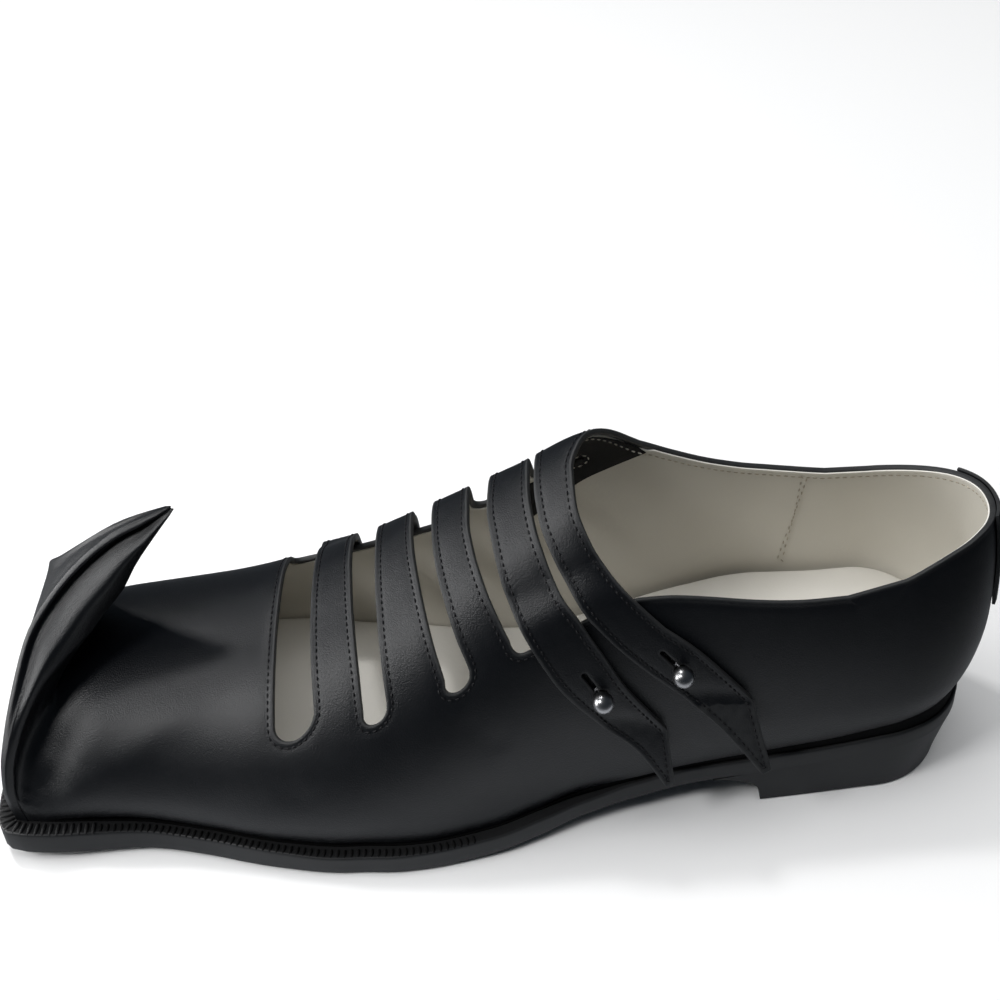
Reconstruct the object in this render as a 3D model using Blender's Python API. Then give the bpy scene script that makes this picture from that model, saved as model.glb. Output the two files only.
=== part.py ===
"""A left poulaine shoe of smooth leather: square toe with a turned-up point, five instep straps, low heel.

The shoe is worked out in millimetres in its own directions: l runs from the back of the heel to the toe,
y from the lateral side (negative) to the medial side, z up from the floor. The toe ends up at -X.
"""
import bmesh
import bpy
import numpy as np
from mathutils import Vector
from mathutils.geometry import delaunay_2d_cdt

for old in list(bpy.data.objects):
    bpy.data.objects.remove(old, do_unlink=True)

# Driving sizes in millimetres
WALL = 2.0
GAP = 0.3
HEEL_CENTRE = 33.0
HEEL_POWER = 2.15
BACK_POWER = 3.4
TUCK_HEIGHT = 12.0
TUCK_BACK = 6.0
TUCK_BACK_HEIGHT = 26.0
DROP_HEIGHT = 34.0
MESH_STEP = 6.8
EDGE_STEP = 5.5

# Half-widths of the upper where it meets the sole: l, lateral, medial
OUTLINE = np.array([
    (33, 33.0, 32.5), (60, 34.2, 32.0), (85, 35.4, 29.0), (105, 37.3, 27.5), (125, 41.0, 28.5),
    (145, 46.5, 32.0), (165, 51.5, 36.5), (185, 53.0, 40.5), (205, 51.0, 43.0), (225, 46.8, 42.8),
    (245, 43.6, 41.0), (262, 42.8, 39.5), (285, 42.5, 39.0)], float)

# Crest of the last: l, height, sideways shift, power of the section (2 is an ellipse)
CREST = np.array([
    (0, 106, 0, 2.0), (33, 106, 0, 2.0), (60, 107, 0, 2.05), (90, 109, 1, 2.15), (112, 107, 2, 2.2),
    (135, 94, 3, 2.2), (160, 79, 4, 2.15), (185, 65, 4, 2.1), (205, 56, 3, 2.1), (225, 50.5, 2, 2.15),
    (245, 47.5, 1, 2.25), (262, 45.5, 0, 2.3), (285, 42, 0, 2.3)], float)

# Lower edge of the last: l, height where its sections stand, lateral and medial tuck above the sole
BASE = np.array([
    (0, 26.2, 2.2, 2.2), (33, 25.2, 2.2, 2.2), (66, 24.3, 2.0, 2.2), (90, 21.3, 1.5, 2.0),
    (105, 18.8, 0.7, 1.6), (120, 16.1, 0.5, 1.2), (132, 13.9, -1.0, 0.6), (144, 11.8, -1.8, 0.2),
    (156, 9.9, -1.1, 0.2),
    (170, 8.4, -0.2, 0.6), (184, 8.1, 1.3, 1.2), (212, 8.1, 1.4, 1.4), (228, 8.3, 2.1, 2.0),
    (244, 8.9, 2.4, 2.2), (258, 9.6, 1.6, 1.6), (270, 10.4, 1.0, 1.2), (285, 11.5, 1.8, 1.8)], float)

# Sole along the shoe: l, height of the underside, outsole, midsole and insole thickness, ledge
SOLE = np.array([
    (0, 17.6, 5.2, 5.6, 3.2, 0.5), (14, 17.5, 5.2, 4.9, 3.8, 0.8), (22, 17.4, 5.2, 4.1, 5.6, 0.9),
    (30, 16.4, 5.2, 3.2, 8.2, 1.0), (45, 13.8, 5.2, 2.0, 11.6, 1.2), (56, 12.2, 5.4, 1.6, 13.8, 1.3),
    (67, 10.6, 5.8, 1.3, 15.8, 1.3), (75, 9.4, 6.0, 1.2, 16.6, 1.2), (90, 7.4, 6.4, 1.0, 15.8, 0.9),
    (105, 5.3, 6.6, 1.0, 13.0, 1.2), (117, 4.1, 5.6, 1.4, 9.6, 2.4), (130, 2.4, 4.8, 1.8, 6.2, 3.2),
    (145, 1.0, 4.6, 1.9, 4.2, 3.4), (160, 0.2, 4.6, 2.0, 3.2, 3.4), (175, 0.0, 4.4, 2.0, 3.0, 4.0),
    (190, 0.0, 4.2, 2.0, 3.0, 4.1), (215, 0.0, 4.8, 2.2, 3.0, 3.2), (235, 0.4, 4.7, 2.2, 3.0, 3.2),
    (250, 1.1, 4.9, 2.4, 3.0, 3.7), (265, 2.0, 5.2, 2.6, 3.0, 4.6), (285, 3.4, 4.9, 2.6, 3.0, 5.2)], float)

# Strap edges on the flat pattern: girth q from the crest (lateral negative), p of each front and rear edge
STRAPS = np.array([
    (-56, 191.0, 178.2, 170.8, 154.6, 147.0, 134.0, 129.6, 116.4, 112.2, 96.4),
    (-50, 191.5, 178.7, 171.3, 156.0, 148.6, 136.8, 132.1, 119.2, 116.4, 102.0),
    (-40, 192.0, 179.5, 172.3, 158.5, 151.8, 140.7, 136.0, 124.3, 121.1, 110.3),
    (-30, 192.6, 180.5, 173.2, 160.6, 154.4, 144.1, 139.1, 127.6, 125.1, 115.8),
    (-18, 193.1, 181.6, 174.0, 162.7, 156.8, 147.0, 141.2, 130.4, 128.4, 119.2),
    (-8, 193.4, 182.3, 174.5, 164.0, 157.8, 148.2, 142.2, 131.4, 129.2, 119.6),
    (0, 193.5, 182.8, 174.7, 164.5, 158.0, 148.2, 141.8, 131.2, 128.8, 117.2),
    (12, 193.5, 183.0, 174.7, 164.6, 157.6, 147.8, 140.6, 130.4, 127.4, 108.2),
    (24, 193.5, 183.0, 174.5, 164.5, 157.0, 147.2, 139.0, 129.0, 125.0, 98.0),
    (36, 193.4, 183.0, 174.4, 164.4, 156.4, 146.6, 137.4, 127.0, 122.0, 81.0)], float)
A_FRONT, A_REAR, B_FRONT, B_REAR, C_FRONT, C_REAR, D_FRONT, D_REAR, E_FRONT, E_REAR = range(1, 11)
SLOT_FRONT = 204.0

# Where the slots end
LATERAL_ENDS = {"slot1": -50.0, "slot2": -54.5, "slot3": -55.5, "slot4": -53.0}
MEDIAL_EDGE = 34.0
SLOT4_MEDIAL = 30.0
GAP5_MEDIAL = 24.0
MEDIAL_CUT = 21.0
LATERAL_CUT = -35.0

# Free ends of the straps on the pattern: from the front edge round the point to the rear edge
D_END = ((129.6, -56.0), (125.1, -66.2), (120.1, -75.3), (114.0, -84.7), (104.2, -93.2), (96.4, -105.4),
         (94.4, -104.8), (96.7, -86.6), (100.9, -81.8), (107.7, -72.6), (114.0, -60.6), (116.4, -56.0))
E_END = ((112.2, -56.0), (108.8, -60.2), (100.9, -68.6), (91.5, -79.1), (81.8, -85.8), (71.8, -97.8),
         (69.6, -96.6), (73.6, -74.6), (79.1, -70.5), (87.4, -63.2), (96.4, -56.0))
A_END = ((193.4, 46.0), (193.0, 51.0), (187.0, 58.5), (183.6, 64.0), (182.2, 63.6), (182.6, 52.0),
         (183.0, 46.0))
B_END = ((174.4, 46.0), (174.0, 51.0), (168.0, 58.5), (164.8, 64.0), (163.4, 63.6), (163.9, 52.0),
         (164.4, 46.0))

# Studs on the pattern: p, q, direction of the slit beside it
STUDS = {"stud_d": (114.1, -73.8, (4.0, 7.0)), "stud_e": (92.2, -68.5, (4.0, 6.0)),
         "stud_a": (188.0, 46.5, (0.0, -8.0)), "stud_b": (169.2, 46.5, (0.0, -8.0))}

# Fold across each strap beyond its stud, front edge to rear edge, and the slope of the tip beyond it
FOLDS = {"stud_d": ((114.0, -84.7), (96.7, -86.6), 0.24), "stud_e": ((91.5, -79.1), (73.6, -74.6), 0.24),
         "stud_a": ((193.0, 51.0), (182.6, 52.0), 0.14), "stud_b": ((174.0, 51.0), (163.9, 52.0), 0.14)}
FOLD_ROUND = 2.0
HOLE_RADIUS = 2.3
SLIT_WIDTH = 1.0
STUD_NECK = 1.3
STUD_HEAD = 3.0

# Collar: lateral side from the fourth slot back (p, q), angle and height round the heel, medial (p, q)
COLLAR_LATERAL = ((130.7, -52.6), (124.5, -52.4), (118.8, -51.8), (110.0, -49.4), (102.8, -47.7),
                  (95.0, -47.6), (86.9, -48.0), (73.6, -48.4), (60.2, -48.1), (46.8, -46.8))
COLLAR_HEEL = np.array([
    (-90, 75.0), (-72, 78.6), (-50, 81.8), (-30, 83.4), (-10, 83.0), (0, 82.2), (10, 81.2), (30, 78.8),
    (50, 76.6), (72, 75.0), (90, 74.0)], float)
COLLAR_MEDIAL = ((44.0, 43.8), (51.1, 43.0), (66.0, 40.6), (75.0, 37.6), (82.0, 34.4), (90.3, 29.6))

# Turned-up point, along one edge from the toe corner to the tip: share, l, half-width, height, thickness and
# how much wider its back face is
POINT = np.array([
    (0.00, 281.5, 38.6, 11.5, 3.5, 0.0), (0.12, 282.0, 39.6, 21.5, 4.0, 0.0),
    (0.25, 281.3, 37.6, 31.0, 4.6, 0.0), (0.37, 279.4, 33.2, 40.0, 5.4, 0.3),
    (0.50, 276.4, 25.1, 50.3, 8.0, 1.5), (0.62, 272.2, 15.3, 60.8, 12.6, 3.5),
    (0.72, 266.1, 8.7, 68.1, 15.0, 4.2), (0.82, 255.9, 3.8, 77.5, 14.6, 3.8),
    (0.91, 244.2, 1.7, 85.5, 10.6, 2.6), (1.00, 229.0, 0.6, 91.5, 3.0, 0.0)], float)
POINT_MID = -1.75
VALLEY_CREST = 265.0
VALLEY_CORNER = 278.0
TOE_FRONT = 283.5
POINT_SHARES = (0.0, 0.07, 0.15, 0.25, 0.35, 0.45, 0.55, 0.65, 0.74, 0.82, 0.89, 0.95, 1.0)

# Back tab and heel
TAB_MIDDLE, TAB_HALF, TAB_LENGTH, TAB_ABOVE, TAB_THICK = 0.12, 0.46, 31.0, 0.7, 1.2
HEEL_BREAST, HEEL_INSET, HEEL_FLARE, HEEL_UNDERCUT = 67.0, 1.2, 1.4, 4.5
BREAST_SWEEP, BREAST_POWER = 14.0, 2.5

# Finishes: colour, roughness, metallic
FINISHES = {
    "upper_leather": ((0.018, 0.019, 0.021), 0.38, 0.0), "sole_leather": ((0.012, 0.012, 0.013), 0.5, 0.0),
    "heel_stack": ((0.014, 0.014, 0.015), 0.42, 0.0), "insole_leather": ((0.62, 0.58, 0.51), 0.6, 0.0),
    "stud_steel": ((0.55, 0.56, 0.58), 0.28, 1.0)}
SMOOTH_ANGLE = np.radians(38)


def smooth(rows, x, column):
    """Value of one column of a table at x, by a cubic that doesn't overshoot the rows."""
    xs, ys = rows[:, 0], rows[:, column]
    step = np.diff(xs)
    slope = np.diff(ys) / step
    total = slope[:-1] + slope[1:]
    same_way = slope[:-1] * slope[1:] > 0
    tangent = np.concatenate([slope[:1], np.zeros(len(xs) - 2), slope[-1:]])
    tangent[1:-1][same_way] = (2 * slope[:-1] * slope[1:])[same_way] / total[same_way]
    x = np.clip(np.asarray(x, float), xs[0], xs[-1])
    k = np.clip(np.searchsorted(xs, x, side="right") - 1, 0, len(step) - 1)
    t = (x - xs[k]) / step[k]
    low = (1 + 2 * t) * (1 - t) ** 2 * ys[k] + t * (1 - t) ** 2 * step[k] * tangent[k]
    return low + t * t * (3 - 2 * t) * ys[k + 1] + t * t * (t - 1) * step[k] * tangent[k + 1]


def sole_under(l):
    return smooth(SOLE, l, 1)


def outsole_top(l):
    return sole_under(l) + smooth(SOLE, l, 2)


def midsole_top(l):
    return outsole_top(l) + GAP + smooth(SOLE, l, 3)


def feather_z(l):
    """Height at which the upper stands on the midsole."""
    return midsole_top(l) + GAP


# Surface of the last
RIB_SHARES = np.linspace(0, 1, 81)


def ribs(l, side, tucked=True):
    """Rows of points from the crest down to the feather line, one row per station."""
    l, side = l[:, None], side[:, None]
    share = RIB_SHARES[None, :] * np.pi / 2
    width = np.where(side < 0, smooth(OUTLINE, l, 1), smooth(OUTLINE, l, 2))
    shift, power = smooth(CREST, l, 2), smooth(CREST, l, 3)
    low = smooth(BASE, l, 1)
    rise = np.cos(share) ** (2 / power) * (smooth(CREST, l, 1) - low)
    y = shift + (side * width - shift) * np.sin(share) ** (2 / power)
    z = low + rise
    if tucked:
        tuck = np.where(side < 0, smooth(BASE, l, 2), smooth(BASE, l, 3))
        y = y - side * tuck * np.clip(1 - rise / TUCK_HEIGHT, 0, 1) ** 2
        z = z - (low - feather_z(l)) * np.clip(1 - rise / DROP_HEIGHT, 0, 1) ** 2
    return np.stack([l + 0 * y, y, z], axis=2)


def heel_ribs(angle):
    """The same round the back of the heel, one row per angle in plan (0 straight back, lateral negative)."""
    angle = angle[:, None]
    share = RIB_SHARES[None, :] * np.pi / 2
    width = np.where(angle < 0, OUTLINE[0, 1], OUTLINE[0, 2])
    back, aside = np.cos(angle), np.abs(np.sin(angle))
    along = HEEL_CENTRE * back ** (2 / HEEL_POWER)
    across = np.sign(angle) * width * aside ** (2 / HEEL_POWER)
    l = HEEL_CENTRE - along
    power = smooth(CREST, l, 3)
    power = power + (BACK_POWER - power) * back ** 3
    low = smooth(BASE, l, 1)
    rise = np.cos(share) ** (2 / power) * (smooth(CREST, l, 1) - low)
    tuck = BASE[0, 2] * (1 - back ** 2) * np.clip(1 - rise / TUCK_HEIGHT, 0, 1) ** 2
    tuck = tuck + TUCK_BACK * back ** 2 * np.clip(1 - rise / TUCK_BACK_HEIGHT, 0, 1) ** 2
    out = np.sin(share) ** (2 / power) - tuck / np.hypot(along, across)
    z = low + rise - (low - feather_z(l)) * np.clip(1 - rise / DROP_HEIGHT, 0, 1) ** 2
    return np.stack([HEEL_CENTRE - along * out, across * out, z], axis=2)


def lengths(rows):
    size = np.linalg.norm(np.diff(rows, axis=1), axis=2)
    return np.concatenate([np.zeros((len(rows), 1)), np.cumsum(size, axis=1)], axis=1)


def walk(rows, reach):
    """The point at a length along each row, carried on straight past its end."""
    done = lengths(rows)
    k = np.clip((done <= reach[:, None]).sum(axis=1) - 1, 0, rows.shape[1] - 2)
    each = np.arange(len(rows))
    part = (reach - done[each, k]) / (done[each, k + 1] - done[each, k])
    return rows[each, k] + part[:, None] * (rows[each, k + 1] - rows[each, k])


def last(pattern, tucked=True):
    """Pattern points (p, q) on the last: p is the station, q the girth from the crest, fanned at the heel."""
    pattern = np.asarray(pattern, float)
    p, q = pattern[:, 0], pattern[:, 1]
    front = p >= HEEL_CENTRE
    out = np.empty((len(p), 3))
    if front.any():
        rows = ribs(p[front], np.where(q[front] < 0, -1, 1), tucked)
        out[front] = walk(rows, np.abs(q[front]))
    if not front.all():
        behind = ~front
        angle = np.arctan2(q[behind], HEEL_CENTRE - p[behind])
        out[behind] = walk(heel_ribs(angle), np.hypot(q[behind], HEEL_CENTRE - p[behind]))
    return out


def normals(pattern, tucked=True):
    """Outward unit normals of the last at pattern points, in the (l, y, z) directions."""
    pattern = np.asarray(pattern, float)
    step = 0.4
    along = last(pattern + (step, 0), tucked) - last(pattern - (step, 0), tucked)
    across = last(pattern + (0, step), tucked) - last(pattern - (0, step), tucked)
    normal = np.cross(along, across)
    return normal / np.linalg.norm(normal, axis=1)[:, None]


def girth(p, side):
    return lengths(ribs(np.array([p], float), np.array([side])))[0, -1]


def heel_girth(angle):
    return lengths(heel_ribs(np.array([angle], float)))[0, -1]


def heel_point(angle, reach):
    return (HEEL_CENTRE - reach * np.cos(angle), reach * np.sin(angle))


def heel_reach(angle, height):
    """Girth from the crest down to a height, at one angle round the heel."""
    rows = heel_ribs(np.array([angle], float))
    return float(np.interp(-height, -rows[0, :, 2], lengths(rows)[0]))


# Flat pattern outlines
def strap_edge(column, start, end):
    """Points along one strap edge from girth start to girth end."""
    count = max(2, int(round(abs(end - start) / EDGE_STEP)) + 1)
    q = np.linspace(start, end, count)
    return list(zip(smooth(STRAPS, q, column), q))


def slot_end(front, rear, end, reach):
    """A round end between two edges: points strictly between them."""
    middle, half = (front + rear) / 2, (front - rear) / 2
    turn = np.radians(np.arange(30, 151, 30))
    return [(middle + half * np.cos(a), end + reach * np.sin(a)) for a in turn]


def between(points, step):
    """A polyline with extra points so that no edge is much longer than step."""
    out = [points[0]]
    for a, b in zip(points[:-1], points[1:]):
        count = max(1, int(round(np.hypot(b[0] - a[0], b[1] - a[1]) / step)))
        for k in range(1, count + 1):
            out.append((a[0] + (b[0] - a[0]) * k / count, a[1] + (b[1] - a[1]) * k / count))
    return out


def cut_line(front, rear, q):
    """Line across a strap where its free end starts, front edge to rear edge."""
    a, b = float(smooth(STRAPS, q, front)), float(smooth(STRAPS, q, rear))
    return [(a + (b - a) * share, q) for share in (0.0, 0.5, 1.0)]


def lateral_slot_end(front, rear, end):
    half = (front - rear) / 2
    return slot_end(front, rear, end + half, -half)


def medial_opening():
    """Slots one to three, joined on the medial side where straps A and B are free."""
    loop = [(SLOT_FRONT, q) for q in np.linspace(MEDIAL_EDGE - 3, LATERAL_ENDS["slot1"] + 6, 15)]
    straps = (("slot1", A_FRONT, A_REAR), ("slot2", B_FRONT, B_REAR), ("slot3", C_FRONT, None))
    for name, front, rear in straps:
        end = LATERAL_ENDS[name]
        edge = loop[-1][0]
        far = float(smooth(STRAPS, end + 5, front))
        loop += lateral_slot_end(edge, far, end)
        if rear is None:
            loop += strap_edge(front, end + 5, MEDIAL_EDGE - 3)
            continue
        loop += strap_edge(front, end + 5, MEDIAL_CUT)[:-1]
        loop += cut_line(front, rear, MEDIAL_CUT)
        following = {"slot1": "slot2", "slot2": "slot3"}[name]
        loop += strap_edge(rear, MEDIAL_CUT, LATERAL_ENDS[following] + 5)[1:]
    start, stop = (loop[-1][0] + 3, MEDIAL_EDGE), (SLOT_FRONT - 3, MEDIAL_EDGE)
    return loop + between([start, stop], EDGE_STEP)


def collar_heel():
    angles = np.linspace(-90, 90, 19)
    heights = smooth(COLLAR_HEEL, angles, 1)
    return [heel_point(np.radians(a), heel_reach(np.radians(a), z)) for a, z in zip(angles, heights)]


def collar_opening():
    """Slot four, the gap between D and E and the collar, joined where straps D and E are free."""
    end = LATERAL_ENDS["slot4"]
    loop = strap_edge(C_REAR, SLOT4_MEDIAL - 4, end + 6)
    loop += [(loop[-1][0] - 1.6, end + 2.2)]
    loop += between(COLLAR_LATERAL, EDGE_STEP)
    loop += collar_heel()
    loop += between(COLLAR_MEDIAL, EDGE_STEP)
    loop += strap_edge(E_REAR, 23.0, LATERAL_CUT)[:-1]
    loop += cut_line(E_FRONT, E_REAR, LATERAL_CUT)[::-1]
    loop += strap_edge(E_FRONT, LATERAL_CUT, GAP5_MEDIAL - 3)[1:]
    gap_end = smooth(STRAPS, GAP5_MEDIAL, E_FRONT) + smooth(STRAPS, GAP5_MEDIAL, D_REAR)
    loop += [(float(gap_end) / 2, GAP5_MEDIAL)]
    loop += strap_edge(D_REAR, GAP5_MEDIAL - 3, LATERAL_CUT)[:-1]
    loop += cut_line(D_FRONT, D_REAR, LATERAL_CUT)[::-1]
    loop += strap_edge(D_FRONT, LATERAL_CUT, SLOT4_MEDIAL - 4)[1:]
    front, rear = loop[0][0], loop[-1][0]
    return loop + slot_end(rear, front, SLOT4_MEDIAL - 4, 4.0)


def strap_end(front, rear, cut, points):
    """Outline of a strap's free end, starting with the cut line from rear to front."""
    start = strap_edge(front, cut, points[0][1])[1:-1]
    finish = strap_edge(rear, points[-1][1], cut)[1:-1]
    return cut_line(front, rear, cut)[::-1] + start + between(list(points), EDGE_STEP) + finish


def keyhole(centre_p, centre_q, slit):
    """Round hole for the stud's neck with a slit running from it."""
    length = np.hypot(*slit)
    forward = np.array(slit) / length
    side = np.array([-forward[1], forward[0]]) * SLIT_WIDTH / 2
    centre = np.array([centre_p, centre_q])
    start = np.arctan2(forward[1], forward[0])
    half = np.arcsin(SLIT_WIDTH / 2 / HOLE_RADIUS)
    turn = np.linspace(start + half, start + 2 * np.pi - half, 9)
    loop = [centre + HOLE_RADIUS * np.array([np.cos(a), np.sin(a)]) for a in turn]
    return [tuple(v) for v in loop + [centre + forward * length - side, centre + forward * length + side]]


def inside(points, loop):
    """Whether each point is inside a closed loop."""
    points, loop = np.asarray(points, float), np.asarray(loop, float)
    x, y = points[:, :1], points[:, 1:]
    x0, y0 = loop[:, 0], loop[:, 1]
    x1, y1 = np.roll(x0, -1), np.roll(y0, -1)
    across = (y0 > y) != (y1 > y)
    rise = np.where(y1 == y0, 1, y1 - y0)
    return (across & (x < x0 + (y - y0) * (x1 - x0) / rise)).sum(axis=1) % 2 == 1


def net(outline, holes, step):
    """Triangles of a flat pattern piece with holes: its points (outline, holes, inner ones) and its faces."""
    loops = [outline] + holes
    points = [p for loop in loops for p in loop]
    edges, start = [], 0
    for loop in loops:
        edges += [(start + k, start + (k + 1) % len(loop)) for k in range(len(loop))]
        start += len(loop)
    border = np.array(points, float)
    low, high = border.min(axis=0), border.max(axis=0)
    grid = [(x + (j % 2) * step / 2, y) for j, y in enumerate(np.arange(low[1], high[1], step * 0.87))
            for x in np.arange(low[0], high[0], step)]
    grid = np.array(grid).reshape(-1, 2)
    ends = np.array([(points[a], points[b]) for a, b in edges], float)
    start, along = ends[:, 0], ends[:, 1] - ends[:, 0]
    share = ((grid[:, None] - start) * along).sum(axis=2) / (along ** 2).sum(axis=1)
    nearest = start + np.clip(share, 0, 1)[:, :, None] * along
    clear = np.linalg.norm(grid[:, None] - nearest, axis=2).min(axis=1) > step * 0.55
    keep = clear & inside(grid, outline)
    for hole in holes:
        keep &= ~inside(grid, hole)
    points += [tuple(v) for v in grid[keep]]
    made = delaunay_2d_cdt([Vector(p) for p in points], edges, [], 0, 1e-5)
    source = [origin[0] for origin in made[3]]
    faces = np.array([[source[k] for k in face] for face in made[2]])
    corners = np.array(points, float)[faces]
    middle = corners.mean(axis=1)
    first, second = corners[:, 1] - corners[:, 0], corners[:, 2] - corners[:, 0]
    area = np.abs(first[:, 0] * second[:, 1] - first[:, 1] * second[:, 0]) / 2
    keep = inside(middle, outline) & (area > 1e-3)
    for hole in holes:
        keep &= ~inside(middle, hole)
    return np.array(points, float), faces[keep]


def material(name):
    """The named finish, made the first time it is asked for."""
    found = bpy.data.materials.get(name)
    if found:
        return found
    colour, roughness, metallic = FINISHES[name]
    made = bpy.data.materials.new(name)
    made.use_nodes = True
    shader = made.node_tree.nodes["Principled BSDF"]
    shader.inputs["Base Color"].default_value = (*colour, 1.0)
    shader.inputs["Roughness"].default_value = roughness
    shader.inputs["Metallic"].default_value = metallic
    return made


class Solid:
    """Gathers points and faces of one closed piece."""

    def __init__(self):
        self.points = []
        self.faces = []

    def add(self, points):
        start = len(self.points)
        self.points += [tuple(p) for p in points]
        return list(range(start, len(self.points)))

    def face(self, *corners):
        kept = [c for k, c in enumerate(corners) if c != corners[k - 1]]
        if len(kept) > 2:
            self.faces.append(kept)

    def strip(self, first, second):
        """Faces between two rows of equal count."""
        for k in range(len(first) - 1):
            self.face(first[k], first[k + 1], second[k + 1], second[k])

    def ring(self, first, second):
        self.strip(first + first[:1], second + second[:1])

    def ladder(self, loop):
        """Caps a loop that starts at one end of the shoe, rung by rung."""
        count = len(loop)
        for k in range(count // 2):
            other = loop[count - 1 - k]
            self.face(loop[k], loop[k + 1], other, loop[(count - k) % count])

    def make(self, name, finish):
        mesh = bpy.data.meshes.new(name)
        points = np.array(self.points)
        turned = np.stack([-points[:, 0], points[:, 1], points[:, 2]], axis=1) * 0.001
        mesh.from_pydata([tuple(p) for p in turned], [], self.faces)
        work = bmesh.new()
        work.from_mesh(mesh)
        bmesh.ops.remove_doubles(work, verts=work.verts, dist=2e-6)
        bmesh.ops.triangulate(work, faces=work.faces)
        bmesh.ops.recalc_face_normals(work, faces=work.faces)
        if work.calc_volume(signed=True) < 0:
            bmesh.ops.reverse_faces(work, faces=work.faces)
        work.to_mesh(mesh)
        work.free()
        mesh.shade_smooth()
        mesh.set_sharp_from_angle(angle=SMOOTH_ANGLE)
        mesh.materials.append(material(finish))
        obj = bpy.data.objects.new(name, mesh)
        bpy.context.scene.collection.objects.link(obj)
        return obj


# Turned-up point of the toe
def valley_station(v):
    return VALLEY_CREST + (VALLEY_CORNER - VALLEY_CREST) * np.abs(v) ** 2.5


def point_edge(v):
    """Front lip of the point at v (-1 lateral corner, 0 tip, 1 medial), its rise and its thickness."""
    share = 1 - np.abs(v) ** 1.4
    l, half, z = smooth(POINT, share, 1), smooth(POINT, share, 2), smooth(POINT, share, 3)
    near, far = np.maximum(share - 0.02, 0), np.minimum(share + 0.02, 1)
    rise = np.stack([smooth(POINT, far, 1) - smooth(POINT, near, 1), 0 * l,
                     smooth(POINT, far, 3) - smooth(POINT, near, 3)], axis=1)
    rise /= np.linalg.norm(rise, axis=1)[:, None]
    y = POINT_MID * (1 - share) + np.sign(v) * half
    wider = np.sign(v) * smooth(POINT, share, 5)
    return np.stack([l, y, z], axis=1), rise, smooth(POINT, share, 4), wider


def toe_base(v):
    """Bottom edge of the toe's front panel."""
    l = TOE_FRONT - (TOE_FRONT - POINT[0, 1]) * np.abs(v) ** 6
    y = POINT_MID + POINT[0, 2] * v
    return np.stack([l, y, feather_z(l)], axis=1)


def bend(start, first, second, end, count):
    """Rows of points along cubic curves, one row per step."""
    rows = []
    for t in np.linspace(0, 1, count):
        ends = (1 - t) ** 3 * start + t ** 3 * end
        rows.append(ends + 3 * t * (1 - t) ** 2 * first + 3 * t * t * (1 - t) * second)
    return rows


def between_lengths(a, b):
    return np.linalg.norm(a - b, axis=1)[:, None]


# Upper: one shell with its straps and the turned-up point
def free_lift(flat, stud):
    """How far a free strap end stands off the last: over the edge below it, then away beyond its fold."""
    lateral = flat[:, 1] < 0
    start = np.where(lateral, -LATERAL_CUT, MEDIAL_CUT)
    over = np.where(lateral, 47.0, MEDIAL_EDGE - 1.5)
    ramp = np.clip((np.abs(flat[:, 1]) - start) / (over - start), 0, 1)
    ramp = ramp * ramp * (3 - 2 * ramp)
    kink, corner, slope = FOLDS[stud]
    along = np.subtract(corner, kink)
    across = np.array([-along[1], along[0]]) / np.hypot(*along)
    beyond = (flat - kink) @ across * np.where(lateral, 1, -1)
    beyond = (beyond + np.sqrt(beyond ** 2 + FOLD_ROUND ** 2)) / 2
    return (WALL + 0.6 + slope * beyond) * ramp


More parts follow.
